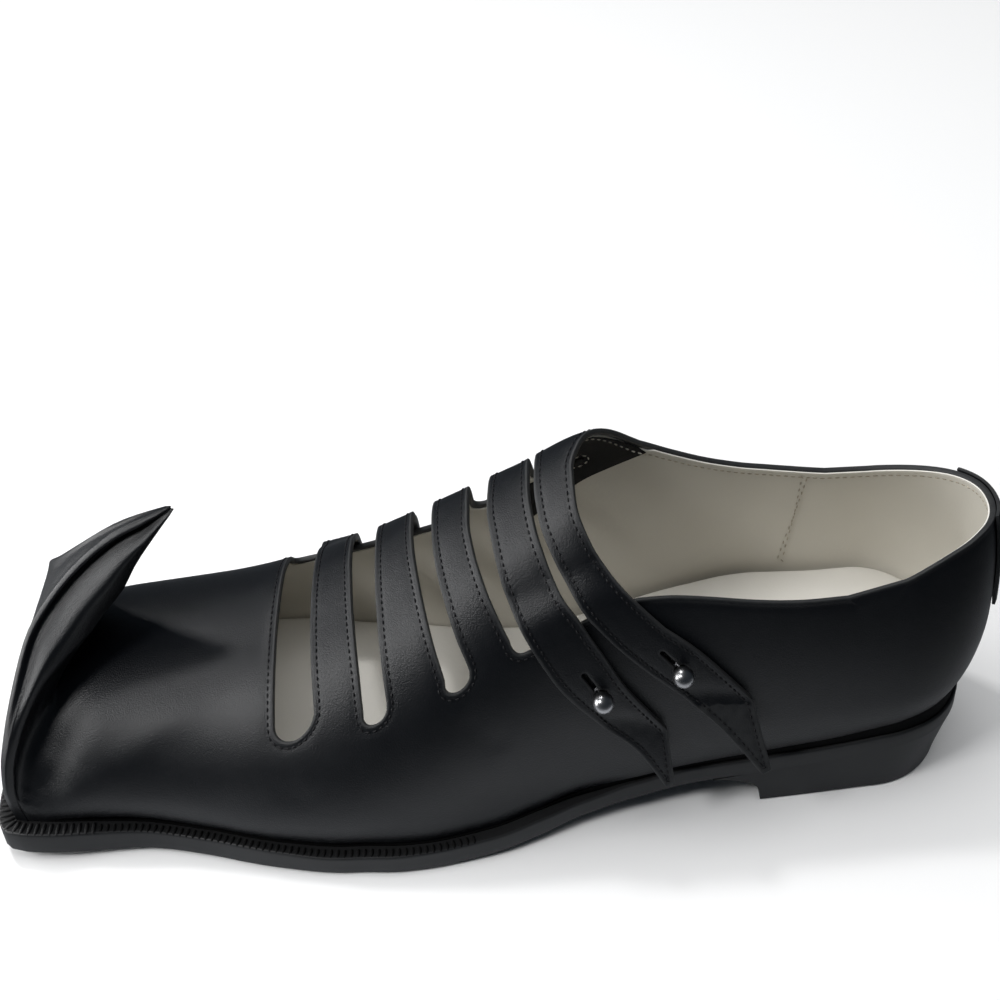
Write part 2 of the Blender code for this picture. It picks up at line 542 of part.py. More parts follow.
def make_upper():
    upper = Solid()
    v = np.array([-s for s in POINT_SHARES[:0:-1]] + list(POINT_SHARES))
    stations = valley_station(v)
    reach = np.array([share * girth(p, -1 if share < 0 else 1) for share, p in zip(v, stations)])
    valley = list(zip(stations, reach))
    side_steps = np.linspace(VALLEY_CORNER, HEEL_CENTRE, 44)[1:-1]
    lateral = [(p, -girth(p, -1)) for p in side_steps]
    round_heel = [heel_point(a, heel_girth(a)) for a in np.radians(np.linspace(-90, 90, 23))]
    medial = [(p, girth(p, 1)) for p in side_steps[::-1]]
    outline = lateral + round_heel + medial + valley[::-1]
    holes = [medial_opening(), collar_opening()]
    flat, faces = net(outline, holes, MESH_STEP)

    # Main sheet, outer and inner faces
    normal = normals(flat)
    outer = last(flat)
    inner = outer - WALL * normal
    base = len(lateral) + len(round_heel) + len(medial)
    stands = np.arange(base)
    inner[stands, 2] = feather_z(inner[stands, 0])
    for corner in (base, base + len(valley) - 1):
        inner[corner, 2] = feather_z(inner[corner, 0])
    out = upper.add(outer)
    ins = upper.add(inner)
    for a, b, c in faces:
        upper.face(out[a], out[b], out[c])
        upper.face(ins[a], ins[c], ins[b])
    start = len(outline)
    for hole in holes:
        cuts = cut_edges(hole)
        for k in range(len(hole)):
            a, b = start + k, start + (k + 1) % len(hole)
            if k not in cuts:
                upper.face(out[a], out[b], ins[b], ins[a])
        start += len(hole)

    # Point: back face up from the valley, rolled edge, front panel down to the sole, wall inside the toe
    order = np.arange(base + len(valley) - 1, base - 1, -1)
    lip, rise, thick, wider = point_edge(v)
    behind = np.stack([-rise[:, 2], 0 * thick, rise[:, 0]], axis=1)
    back_lip = lip + thick[:, None] * behind
    back_lip[:, 1] += wider
    lip[[0, -1], 2] = feather_z(lip[[0, -1], 0])
    valley_at = outer[order]
    back_lip[[0, -1]] = valley_at[[0, -1]]
    forward = last(flat[order] + (0.5, 0)) - last(flat[order] - (0.5, 0))
    forward /= np.linalg.norm(forward, axis=1)[:, None]
    size = between_lengths(valley_at, back_lip)
    rows = bend(valley_at, valley_at + 0.26 * size * forward, back_lip - 0.45 * size * rise, back_lip, 7)
    grid = [[out[k] for k in order]] + [upper.add(row) for row in rows[1:]]
    aside = np.stack([0 * thick, np.sign(v), 0 * thick], axis=1)
    tip = np.abs(v) < 0.05
    aside[tip] = rise[tip]
    middle = (back_lip + lip) / 2 + 0.28 * thick[:, None] * aside
    middle[[0, -1], 2] = feather_z(middle[[0, -1], 0])
    grid.append(upper.add(middle))
    foot = toe_base(v)
    foot[[0, -1]] = lip[[0, -1]]
    size = between_lengths(lip, foot)
    down = np.array([0.0, 0.0, 1.0])
    rows = bend(lip, lip - 0.48 * size * rise, foot + 0.48 * size * down, foot, 8)
    grid += [upper.add(row) for row in rows]
    for first, second in zip(grid[:-1], grid[1:]):
        upper.strip(first, second)
    inner_valley = inner[order]
    inner_foot = foot - np.stack([np.full(len(v), 3.2), 2.2 * v, 0 * v], axis=1)
    inner_foot[:, 2] = feather_z(inner_foot[:, 0])
    inner_foot[[0, -1]] = inner_valley[[0, -1]]
    size = between_lengths(inner_valley, inner_foot)
    start, end = inner_valley + 0.3 * size * forward, inner_foot + 0.4 * size * down
    rows = bend(inner_valley, start, end, inner_foot, 5)
    wall = [[ins[k] for k in order]] + [upper.add(row) for row in rows[1:]]
    for first, second in zip(wall[:-1], wall[1:]):
        upper.strip(first, second)

    # Bottom rim, along the sides, round the rolled corners and across the toe
    sides = [order[0]] + list(range(base)) + [order[-1]]
    upper.strip([out[k] for k in sides], [ins[k] for k in sides])
    upper.strip(grid[-1], wall[-1])
    for end in (0, -1):
        corner = ins[order[end]]
        chain = [row[end] for row in grid[6:]]
        for a, b in zip(chain[:-1], chain[1:]):
            upper.face(a, b, corner)

    # Free strap ends, each joined to its strap along the cut line
    for front, rear, cut, points, stud in (
            (D_FRONT, D_REAR, LATERAL_CUT, D_END, "stud_d"), (E_FRONT, E_REAR, LATERAL_CUT, E_END, "stud_e"),
            (A_FRONT, A_REAR, MEDIAL_CUT, A_END, "stud_a"), (B_FRONT, B_REAR, MEDIAL_CUT, B_END, "stud_b")):
        shape = strap_end(front, rear, cut, points)
        hole = keyhole(*STUDS[stud])
        flat, faces = net(shape, [hole], EDGE_STEP)
        normal = normals(flat, tucked=False)
        top = last(flat, tucked=False) + free_lift(flat, stud)[:, None] * normal
        over, under = upper.add(top), upper.add(top - WALL * normal)
        for a, b, c in faces:
            upper.face(over[a], over[b], over[c])
            upper.face(under[a], under[c], under[b])
        start, count = len(shape), len(hole)
        for k in range(2, len(shape)):
            following = (k + 1) % len(shape)
            upper.face(over[k], over[following], under[following], under[k])
        for k in range(count):
            a, b = start + k, start + (k + 1) % count
            upper.face(over[a], over[b], under[b], under[a])
    return upper.make("upper", "upper_leather")


def cut_edges(loop):
    """Edges of an opening that lie on a cut line, where the free end carries on."""
    return {k for k in range(len(loop)) if loop[k][1] == loop[(k + 1) % len(loop)][1]
            and loop[k][1] in (MEDIAL_CUT, LATERAL_CUT)}


# Sole plates
def foot_loop(grow):
    """Closed outline at the feather line, moved outwards by grow(l): from the heel's back, lateral first."""
    angles = np.radians(np.linspace(0, 90, 12))
    sides = np.linspace(HEEL_CENTRE, VALLEY_CORNER, 44)[1:]
    shares = np.array([1.0, 0.97, 0.92, 0.85, 0.7, 0.45, 0.0])
    one = np.ones(len(sides))
    lateral = np.concatenate([heel_ribs(-angles)[:, -1], ribs(sides, -one)[:, -1], toe_base(-shares)])
    medial = np.concatenate([heel_ribs(angles)[:, -1], ribs(sides, one)[:, -1], toe_base(shares)])
    loop = np.concatenate([lateral, medial[-2:0:-1]])[:, :2]
    ahead, before = np.roll(loop, -1, axis=0), np.roll(loop, 1, axis=0)
    along = ahead - before
    outward = np.stack([-along[:, 1], along[:, 0]], axis=1)
    outward /= np.linalg.norm(outward, axis=1)[:, None]
    middle = loop.mean(axis=0)
    if ((loop - middle) * outward).sum() < 0:
        outward = -outward
    return loop + grow(loop[:, 0])[:, None] * outward


def make_plate(name, finish, levels, grow, height):
    """A plate lofted through outlines: each level is (extra growth, share of its thickness)."""
    plate = Solid()
    rings = []
    for extra, share in levels:
        loop = foot_loop(lambda l: grow(l) + extra)
        rings.append(plate.add(np.column_stack([loop, height(loop[:, 0], share)])))
    for low, high in zip(rings[:-1], rings[1:]):
        plate.ring(low, high)
    plate.ladder(rings[0])
    plate.ladder(rings[-1])
    return plate.make(name, finish)


def ledge(l):
    return smooth(SOLE, l, 5)


def make_heel():
    """Stacked heel: sides drawn in a little, back undercut, breast swept forward under the waist."""
    heel = Solid()
    outline = foot_loop(lambda l: ledge(l) - 0.3)
    half = len(outline) // 2
    reached = [k for k in range(half) if outline[k, 0] <= HEEL_BREAST - 2]
    sides = np.concatenate([outline[reached], outline[[-k for k in reached[:0:-1]]]])
    rings = []
    for share in (0.0, 0.06, 0.35, 0.6, 0.8, 0.92, 1.0):
        breast = HEEL_BREAST + BREAST_SWEEP * share ** BREAST_POWER
        lateral_y = np.interp(breast, outline[1:half, 0], outline[1:half, 1])
        medial_y = np.interp(breast, outline[:half:-1, 0], outline[:half:-1, 1])
        top = np.insert(sides, len(reached), [(breast, lateral_y), (breast, medial_y)], axis=0)
        back = np.clip(1 - top[:, 0] / HEEL_BREAST, 0, 1)
        narrower = HEEL_INSET * back - HEEL_FLARE * (1 - back)
        low = np.column_stack([top[:, 0] + HEEL_UNDERCUT * back ** 1.4,
                               top[:, 1] * (1 - narrower / np.abs(top[:, 1]).max())])
        plan = low + (top - low) * share ** 1.25
        if share == 0.0:
            middle = plan.mean(axis=0)
            plan = middle + (plan - middle) * 0.985
        rings.append(heel.add(np.column_stack([plan, share * (sole_under(top[:, 0]) - GAP)])))
    for first, second in zip(rings[:-1], rings[1:]):
        heel.ring(first, second)
    heel.ladder(rings[0])
    heel.ladder(rings[-1])
    return heel.make("heel", "heel_stack")


# Back tab laid on the top of the heel
def make_tab():
    tab = Solid()
    angles = TAB_MIDDLE + np.linspace(-TAB_HALF, TAB_HALF, 11)
    heights = smooth(COLLAR_HEEL, np.degrees(angles), 1)
    near, far = [], []
    for down in list(np.linspace(TAB_LENGTH, 0, 8)) + [-TAB_ABOVE]:
        flat = [heel_point(a, heel_reach(a, z) + down) for a, z in zip(angles, heights)]
        near.append(tab.add(last(flat) + GAP * normals(flat)))
        far.append(tab.add(last(flat) + (GAP + TAB_THICK) * normals(flat)))
    for rows in (near, far):
        for first, second in zip(rows[:-1], rows[1:]):
            tab.strip(first, second)
    for end in (0, -1):
        tab.strip(near[end], far[end])
        tab.strip([row[end] for row in near], [row[end] for row in far])
    return tab.make("back_tab", "upper_leather")


# Ball studs that the strap ends button onto
def make_stud(name):
    stud = Solid()
    p, q, slit = STUDS[name]
    flat = np.array([(p, q)])
    foot, up = last(flat, tucked=False)[0], normals(flat, tucked=False)[0]
    top = float(free_lift(flat, name)[0]) + 0.4
    centre = top + 0.8 * STUD_HEAD
    profile = [(STUD_NECK, GAP), (STUD_NECK, top)]
    for a in np.radians((42, 65, 90, 115, 140, 162)):
        profile.append((STUD_HEAD * np.sin(a), centre - STUD_HEAD * np.cos(a)))
    side = np.cross(up, (1.0, 0.0, 0.0))
    side /= np.linalg.norm(side)
    other = np.cross(up, side)
    turn = np.radians(np.arange(0, 360, 24))
    around = np.outer(np.cos(turn), side) + np.outer(np.sin(turn), other)
    rings = [stud.add(foot + height * up + radius * around) for radius, height in profile]
    for first, second in zip(rings[:-1], rings[1:]):
        stud.ring(first, second)
    bottom, crown = stud.add([foot + GAP * up, foot + (centre + STUD_HEAD) * up])
    for k in range(len(turn)):
        stud.face(rings[0][k], rings[0][k - 1], bottom)
        stud.face(rings[-1][k], rings[-1][k - 1], crown)
    return stud.make(name, "stud_steel")


# Pieces of the shoe
pieces = [make_upper()]
pieces.append(make_plate(
    "outsole", "sole_leather", ((-0.8, 0.0), (0.0, 0.2), (0.0, 0.8), (-0.4, 1.0)), ledge,
    lambda l, share: sole_under(l) + share * (outsole_top(l) - sole_under(l))))
pieces.append(make_plate(
    "midsole", "sole_leather", ((-0.5, 0.0), (-0.2, 0.3), (-0.2, 0.7), (-0.7, 1.0)), ledge,
    lambda l, share: outsole_top(l) + GAP + share * (midsole_top(l) - outsole_top(l) - GAP)))
pieces.append(make_plate(
    "insole", "insole_leather", ((0.0, 0.0), (0.0, 0.6), (-0.9, 1.0)),
    lambda l: -np.interp(l, (262, 276), (WALL + 0.6, WALL + 2.0)),
    lambda l, share: feather_z(l) + share * smooth(SOLE, l, 4)))
pieces.append(make_heel())
pieces.append(make_tab())
pieces += [make_stud(name) for name in STUDS]

# Stand the shoe on the floor with its box centred on the origin
low = np.min([np.min([v.co for v in piece.data.vertices], axis=0) for piece in pieces], axis=0)
high = np.max([np.max([v.co for v in piece.data.vertices], axis=0) for piece in pieces], axis=0)
shoe = bpy.data.objects.new("shoe", None)
bpy.context.scene.collection.objects.link(shoe)
shoe.location = (-(low[0] + high[0]) / 2, -(low[1] + high[1]) / 2, -low[2])
for piece in pieces:
    piece.parent = shoe
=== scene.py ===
# %% [markdown]
# # A left poulaine shoe, dressed
#
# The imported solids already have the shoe's sizes. This lesson puts a finer skin over them: black leather
# with rounded cut edges and stitches, a pale lining, a welted sole, a heel and steel studs. Everything is
# worked out in the shoe's own millimetres: l runs from the back of the heel to the toe, y from the
# lateral side (negative) to the medial side, and z up from the floor.

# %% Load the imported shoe
import bmesh
import bpy
import numpy as np
from mathutils import Matrix, Vector
from mathutils.geometry import delaunay_2d_cdt
from mathutils.kdtree import KDTree


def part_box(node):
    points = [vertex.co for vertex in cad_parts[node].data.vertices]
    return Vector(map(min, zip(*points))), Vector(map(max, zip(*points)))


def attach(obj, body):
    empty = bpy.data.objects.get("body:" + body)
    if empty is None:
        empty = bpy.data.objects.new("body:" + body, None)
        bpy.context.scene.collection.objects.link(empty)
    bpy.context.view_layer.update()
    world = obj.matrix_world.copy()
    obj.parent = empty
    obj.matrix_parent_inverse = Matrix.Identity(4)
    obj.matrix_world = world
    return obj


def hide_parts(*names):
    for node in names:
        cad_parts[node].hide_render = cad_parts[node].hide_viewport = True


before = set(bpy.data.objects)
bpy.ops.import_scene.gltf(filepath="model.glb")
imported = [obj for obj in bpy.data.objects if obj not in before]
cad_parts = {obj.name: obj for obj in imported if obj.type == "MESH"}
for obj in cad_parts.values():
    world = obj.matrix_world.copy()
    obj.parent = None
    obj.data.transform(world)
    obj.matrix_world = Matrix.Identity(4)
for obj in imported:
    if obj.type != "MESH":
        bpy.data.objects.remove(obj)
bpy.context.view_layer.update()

MM = 0.001
print("packed nodes:", ", ".join(sorted(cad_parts)))

# %% [markdown]
# ## The last
#
# A shoemaker stretches the upper over a last, a solid foot of wood. A sculpted mesh could stand for it,
# but a few tables of widths and heights along the length are easier to correct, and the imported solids
# follow the same tables. Each table is read by a cubic that never overshoots its rows, so the surface
# stays free of bumps.

# %% Tables of the last
HEEL_CENTRE, HEEL_POWER, BACK_POWER = 33.0, 2.15, 3.4
TUCK_HEIGHT, TUCK_BACK, TUCK_BACK_HEIGHT, DROP_HEIGHT = 12.0, 6.0, 26.0, 34.0
GAP = 0.3

# Half-widths where the upper meets the sole: l, lateral, medial
OUTLINE = np.array([
    (33, 33.0, 32.5), (60, 34.2, 32.0), (85, 35.4, 29.0), (105, 37.3, 27.5), (125, 41.0, 28.5),
    (145, 46.5, 32.0), (165, 51.5, 36.5), (185, 53.0, 40.5), (205, 51.0, 43.0), (225, 46.8, 42.8),
    (245, 43.6, 41.0), (262, 42.8, 39.5), (285, 42.5, 39.0)], float)

# Crest: l, height, sideways shift, power of the section (2 is an ellipse)
CREST = np.array([
    (0, 106, 0, 2.0), (33, 106, 0, 2.0), (60, 107, 0, 2.05), (90, 109, 1, 2.15), (112, 107, 2, 2.2),
    (135, 94, 3, 2.2), (160, 79, 4, 2.15), (185, 65, 4, 2.1), (205, 56, 3, 2.1), (225, 50.5, 2, 2.15),
    (245, 47.5, 1, 2.25), (262, 45.5, 0, 2.3), (285, 42, 0, 2.3)], float)

# Lower edge: l, height where the sections stand, lateral and medial tuck above the sole
BASE = np.array([
    (0, 26.2, 2.2, 2.2), (33, 25.2, 2.2, 2.2), (66, 24.3, 2.0, 2.2), (90, 21.3, 1.5, 2.0),
    (105, 18.8, 0.7, 1.6), (120, 16.1, 0.5, 1.2), (132, 13.9, -1.0, 0.6), (144, 11.8, -1.8, 0.2),
    (156, 9.9, -1.1, 0.2), (170, 8.4, -0.2, 0.6), (184, 8.1, 1.3, 1.2), (212, 8.1, 1.4, 1.4),
    (228, 8.3, 2.1, 2.0), (244, 8.9, 2.4, 2.2), (258, 9.6, 1.6, 1.6), (270, 10.4, 1.0, 1.2),
    (285, 11.5, 1.8, 1.8)], float)

# Sole: l, height of the underside, outsole, midsole and insole thickness, ledge beyond the upper
SOLE = np.array([
    (0, 17.6, 5.2, 5.6, 3.2, 0.5), (14, 17.5, 5.2, 4.9, 3.8, 0.8), (22, 17.4, 5.2, 4.1, 5.6, 0.9),
    (30, 16.4, 5.2, 3.2, 8.2, 1.0), (45, 13.8, 5.2, 2.0, 11.6, 1.2), (56, 12.2, 5.4, 1.6, 13.8, 1.3),
    (67, 10.6, 5.8, 1.3, 15.8, 1.3), (75, 9.4, 6.0, 1.2, 16.6, 1.2), (90, 7.4, 6.4, 1.0, 15.8, 0.9),
    (105, 5.3, 6.6, 1.0, 13.0, 1.2), (117, 4.1, 5.6, 1.4, 9.6, 2.4), (130, 2.4, 4.8, 1.8, 6.2, 3.2),
    (145, 1.0, 4.6, 1.9, 4.2, 3.4), (160, 0.2, 4.6, 2.0, 3.2, 3.4), (175, 0.0, 4.4, 2.0, 3.0, 4.0),
    (190, 0.0, 4.2, 2.0, 3.0, 4.1), (215, 0.0, 4.8, 2.2, 3.0, 3.2), (235, 0.4, 4.7, 2.2, 3.0, 3.2),
    (250, 1.1, 4.9, 2.4, 3.0, 3.7), (265, 2.0, 5.2, 2.6, 3.0, 4.6), (285, 3.4, 4.9, 2.6, 3.0, 5.2)], float)


def smooth(rows, x, column):
    """Value of one column of a table at x, by a cubic that doesn't overshoot the rows."""
    xs, ys = rows[:, 0], rows[:, column]
    step = np.diff(xs)
    slope = np.diff(ys) / step
    total = slope[:-1] + slope[1:]
    same_way = slope[:-1] * slope[1:] > 0
    tangent = np.concatenate([slope[:1], np.zeros(len(xs) - 2), slope[-1:]])
    tangent[1:-1][same_way] = (2 * slope[:-1] * slope[1:])[same_way] / total[same_way]
    x = np.clip(np.asarray(x, float), xs[0], xs[-1])
    k = np.clip(np.searchsorted(xs, x, side="right") - 1, 0, len(step) - 1)
    t = (x - xs[k]) / step[k]
    low = (1 + 2 * t) * (1 - t) ** 2 * ys[k] + t * (1 - t) ** 2 * step[k] * tangent[k]
    return low + t * t * (3 - 2 * t) * ys[k + 1] + t * t * (t - 1) * step[k] * tangent[k + 1]


def ease(x, low, high):
    """0 below low, 1 above high and a soft step between them."""
    t = np.clip((np.asarray(x, float) - low) / (high - low), 0, 1)
    return t * t * (3 - 2 * t)


print("tables read: crest at l 112 is", float(smooth(CREST, 112, 1)), "mm high")


# %% Heights of the sole's layers
def sole_under(l):
    return smooth(SOLE, l, 1)


def outsole_top(l):
    return sole_under(l) + smooth(SOLE, l, 2)


def midsole_top(l):
    return outsole_top(l) + GAP + smooth(SOLE, l, 3)


def feather_z(l):
    """Height at which the upper stands on the midsole."""
    return midsole_top(l) + GAP


def ledge(l):
    return smooth(SOLE, l, 5)


print("upper stands %.1f mm high at the heel, %.1f mm at the ball" % (feather_z(20), feather_z(185)))

# %% Sections of the last
RIB_SHARES = np.linspace(0, 1, 161)


def ribs(l, side, tucked=True):
    """Rows of points from the crest down to the feather line, one row per station."""
    l, side = l[:, None], side[:, None]
    share = RIB_SHARES[None, :] * np.pi / 2
    width = np.where(side < 0, smooth(OUTLINE, l, 1), smooth(OUTLINE, l, 2))
    shift, power = smooth(CREST, l, 2), smooth(CREST, l, 3)
    low = smooth(BASE, l, 1)
    rise = np.cos(share) ** (2 / power) * (smooth(CREST, l, 1) - low)
    y = shift + (side * width - shift) * np.sin(share) ** (2 / power)
    z = low + rise
    if tucked:
        tuck = np.where(side < 0, smooth(BASE, l, 2), smooth(BASE, l, 3))
        y = y - side * tuck * np.clip(1 - rise / TUCK_HEIGHT, 0, 1) ** 2
        z = z - (low - feather_z(l)) * np.clip(1 - rise / DROP_HEIGHT, 0, 1) ** 2
    return np.stack([l + 0 * y, y, z], axis=2)


def heel_ribs(angle):
    """The same round the back of the heel, one row per angle in plan (0 straight back, lateral negative)."""
    angle = angle[:, None]
    share = RIB_SHARES[None, :] * np.pi / 2
    width = np.where(angle < 0, OUTLINE[0, 1], OUTLINE[0, 2])
    back, aside = np.clip(np.cos(angle), 0, 1), np.abs(np.sin(angle))
    along = HEEL_CENTRE * back ** (2 / HEEL_POWER)
    across = np.sign(angle) * width * aside ** (2 / HEEL_POWER)
    l = HEEL_CENTRE - along
    power = smooth(CREST, l, 3)
    power = power + (BACK_POWER - power) * back ** 3
    low = smooth(BASE, l, 1)
    rise = np.cos(share) ** (2 / power) * (smooth(CREST, l, 1) - low)
    tuck = BASE[0, 2] * (1 - back ** 2) * np.clip(1 - rise / TUCK_HEIGHT, 0, 1) ** 2
    tuck = tuck + TUCK_BACK * back ** 2 * np.clip(1 - rise / TUCK_BACK_HEIGHT, 0, 1) ** 2
    out = np.sin(share) ** (2 / power) - tuck / np.hypot(along, across)
    z = low + rise - (low - feather_z(l)) * np.clip(1 - rise / DROP_HEIGHT, 0, 1) ** 2
    return np.stack([HEEL_CENTRE - along * out, across * out, z], axis=2)


def lengths(rows):
    size = np.linalg.norm(np.diff(rows, axis=1), axis=2)
    return np.concatenate([np.zeros((len(rows), 1)), np.cumsum(size, axis=1)], axis=1)


def walk(rows, reach):
    """The point at a length along each row, carried on straight past its end."""
    done = lengths(rows)
    k = np.clip((done <= reach[:, None]).sum(axis=1) - 1, 0, rows.shape[1] - 2)
    each = np.arange(len(rows))
    part = (reach - done[each, k]) / (done[each, k + 1] - done[each, k])
    return rows[each, k] + part[:, None] * (rows[each, k + 1] - rows[each, k])


# %% [markdown]
# ## From flat pattern to last
#
# Leather is cut flat, so every outline here is drawn on a flat pattern: p is the station along the shoe
# and q the girth measured down from the crest, lateral negative. Behind the heel's centre the pattern
# fans out like the back seam of a sock. An unwrapped mesh could give such a pattern; a rule gives it before
# there is any mesh. Two functions take pattern points to the last and give the outward direction there.

# %% Pattern to last
def last(pattern, tucked=True):
    """Pattern points (p, q) on the last."""
    pattern = np.asarray(pattern, float)
    p, q = pattern[:, 0], pattern[:, 1]
    front = p >= HEEL_CENTRE
    out = np.empty((len(p), 3))
    if front.any():
        rows = ribs(p[front], np.where(q[front] < 0, -1, 1), tucked)
        out[front] = walk(rows, np.abs(q[front]))
    if not front.all():
        behind = ~front
        angle = np.arctan2(q[behind], HEEL_CENTRE - p[behind])
        out[behind] = walk(heel_ribs(angle), np.hypot(q[behind], HEEL_CENTRE - p[behind]))
    return out


def normals(pattern, tucked=True):
    """Outward unit normals of the last at pattern points."""
    pattern = np.asarray(pattern, float)
    step = 0.8
    along = last(pattern + (step, 0), tucked) - last(pattern - (step, 0), tucked)
    across = last(pattern + (0, step), tucked) - last(pattern - (0, step), tucked)
    normal = np.cross(along, across)
    return normal / np.linalg.norm(normal, axis=1)[:, None]


def girth(p, side):
    return lengths(ribs(np.array([p], float), np.array([side])))[0, -1]


def heel_girth(angle):
    return lengths(heel_ribs(np.array([angle], float)))[0, -1]


def heel_point(angle, reach):
    return (HEEL_CENTRE - reach * np.cos(angle), reach * np.sin(angle))


def heel_reach(angle, height):
    """Girth from the crest down to a height, at one angle round the heel."""
    rows = heel_ribs(np.array([angle], float))
    return float(np.interp(-height, -rows[0, :, 2], lengths(rows)[0]))


print("girth at the ball: %.0f mm" % (girth(185, -1) + girth(185, 1)))

# %% [markdown]
# ## Outlines of the cut-outs
#
# Five straps, A to E from the toe, cross the instep. Four slots, the gap between D and E and the collar
# are cut out of one piece of leather, and four strap ends lie free on top of it. Curve objects could draw
# the outlines, but here each is a list of pattern points, close enough together to look round, so a net
# can be fitted to it.

# %% Tables of the pattern
EDGE_STEP = 1.7

# Straps: girth q, then the station of each strap's front and rear edge, A to E
STRAPS = np.array([
    (-56, 191.0, 178.2, 170.8, 154.6, 147.0, 134.0, 129.6, 116.4, 112.2, 96.4),
    (-50, 191.5, 178.7, 171.3, 156.0, 148.6, 136.8, 132.1, 119.2, 116.4, 102.0),
    (-40, 192.0, 179.5, 172.3, 158.5, 151.8, 140.7, 136.0, 124.3, 121.1, 110.3),
    (-30, 192.6, 180.5, 173.2, 160.6, 154.4, 144.1, 139.1, 127.6, 125.1, 115.8),
    (-18, 193.1, 181.6, 174.0, 162.7, 156.8, 147.0, 141.2, 130.4, 128.4, 119.2),
    (-8, 193.4, 182.3, 174.5, 164.0, 157.8, 148.2, 142.2, 131.4, 129.2, 119.6),
    (0, 193.5, 182.8, 174.7, 164.5, 158.0, 148.2, 141.8, 131.2, 128.8, 117.2),
    (12, 193.5, 183.0, 174.7, 164.6, 157.6, 147.8, 140.6, 130.4, 127.4, 108.2),
    (24, 193.5, 183.0, 174.5, 164.5, 157.0, 147.2, 139.0, 129.0, 125.0, 98.0),
    (36, 193.4, 183.0, 174.4, 164.4, 156.4, 146.6, 137.4, 127.0, 122.0, 81.0)], float)
STRAP_EDGES = range(1, STRAPS.shape[1])
A_FRONT, A_REAR, B_FRONT, B_REAR, C_FRONT, C_REAR, D_FRONT, D_REAR, E_FRONT, E_REAR = STRAP_EDGES

# Slots: front edge, lateral and medial ends, the lines where free ends start, and how far ends are rounded
SLOT_FRONT = 204.0
LATERAL_ENDS = {"slot1": -50.0, "slot2": -54.5, "slot3": -55.5, "slot4": -53.0}
MEDIAL_EDGE, SLOT4_MEDIAL, GAP5_MEDIAL = 34.0, 30.0, 24.0
MEDIAL_CUT, LATERAL_CUT, E_ROOT = 21.0, -35.0, 23.0
SLOT_ROUND, WIDE_ROUND, SLOT4_ROUND, GAP5_ROUND, CORNER = 5.0, 6.0, 4.0, 3.0, 3.0

# Collar: points on the lateral side, heights by angle round the heel, points on the medial side
COLLAR_LATERAL = ((130.7, -52.6), (124.5, -52.4), (118.8, -51.8), (110.0, -49.4), (102.8, -47.7),
                  (95.0, -47.6), (86.9, -48.0), (73.6, -48.4), (60.2, -48.1), (46.8, -46.8))
COLLAR_HEEL = np.array([
    (-90, 75.0), (-72, 78.6), (-50, 81.8), (-30, 83.4), (-10, 83.0), (0, 82.2), (10, 81.2), (30, 78.8),
    (50, 76.6), (72, 75.0), (90, 74.0)], float)
COLLAR_MEDIAL = ((44.0, 43.8), (51.1, 43.0), (66.0, 40.6), (75.0, 37.6), (82.0, 34.4), (90.3, 29.6))


def curve(points, step=EDGE_STEP):
    """A smooth run through the points, close spaced, with both ends kept."""
    points = np.asarray(points, float)
    done = np.concatenate([[0], np.cumsum(np.hypot(*np.diff(points, axis=0).T))])
    rows = np.column_stack([done, points])
    at = np.linspace(0, done[-1], max(2, int(round(done[-1] / step)) + 1))
    return list(zip(smooth(rows, at, 1), smooth(rows, at, 2)))


def strap_edge(column, start, end):
    """Points along one strap edge from girth start to girth end."""
    q = np.linspace(start, end, max(2, int(round(abs(end - start) / EDGE_STEP)) + 1))
    return list(zip(smooth(STRAPS, q, column), q))


def slot_end(front, rear, end, reach):
    """A round end between two edges: points strictly between them."""
    middle, half = (front + rear) / 2, (front - rear) / 2
    turn = np.radians(np.arange(12, 169, 12))
    return [(middle + half * np.cos(a), end + reach * np.sin(a)) for a in turn]


def lateral_slot_end(front, rear, end):
    half = (front - rear) / 2
    return slot_end(front, rear, end + half, -half)


def cut_line(front, rear, q):
    """Line across a strap where its free end starts, front edge to rear edge."""
    a, b = float(smooth(STRAPS, q, front)), float(smooth(STRAPS, q, rear))
    return [(a + (b - a) * share, q) for share in np.linspace(0, 1, 8)]


def turned(a, corner, b, count=6):
    """Points of a rounded corner from a to b, ends left out."""
    t = np.linspace(0, 1, count + 2)[1:-1, None]
    a, corner, b = np.array(a), np.array(corner), np.array(b)
    return [tuple(v) for v in (1 - t) ** 2 * a + 2 * t * (1 - t) * corner + t * t * b]


# %% The two openings of the upper
def medial_opening():
    """Slots one to three, joined on the medial side where straps A and B are free."""
    low, high = MEDIAL_EDGE - CORNER, LATERAL_ENDS["slot1"] + WIDE_ROUND
    loop = [(SLOT_FRONT, q) for q in np.linspace(low, high, int((low - high) / EDGE_STEP))]
    straps = (("slot1", A_FRONT, A_REAR), ("slot2", B_FRONT, B_REAR), ("slot3", C_FRONT, None))
    for name, front, rear in straps:
        end = LATERAL_ENDS[name]
        far = float(smooth(STRAPS, end + SLOT_ROUND, front))
        loop += lateral_slot_end(loop[-1][0], far, end)
        if rear is None:
            loop += strap_edge(front, end + SLOT_ROUND, low)
            continue
        loop += strap_edge(front, end + SLOT_ROUND, MEDIAL_CUT)[:-1]
        loop += cut_line(front, rear, MEDIAL_CUT)
        following = {"slot1": "slot2", "slot2": "slot3"}[name]
        loop += strap_edge(rear, MEDIAL_CUT, LATERAL_ENDS[following] + SLOT_ROUND)[1:]
    edge = loop[-1][0]
    start, stop = (edge + CORNER, MEDIAL_EDGE), (SLOT_FRONT - CORNER, MEDIAL_EDGE)
    loop += turned(loop[-1], (edge, MEDIAL_EDGE), start) + curve([start, stop])
    return loop + turned(stop, (SLOT_FRONT, MEDIAL_EDGE), loop[0])


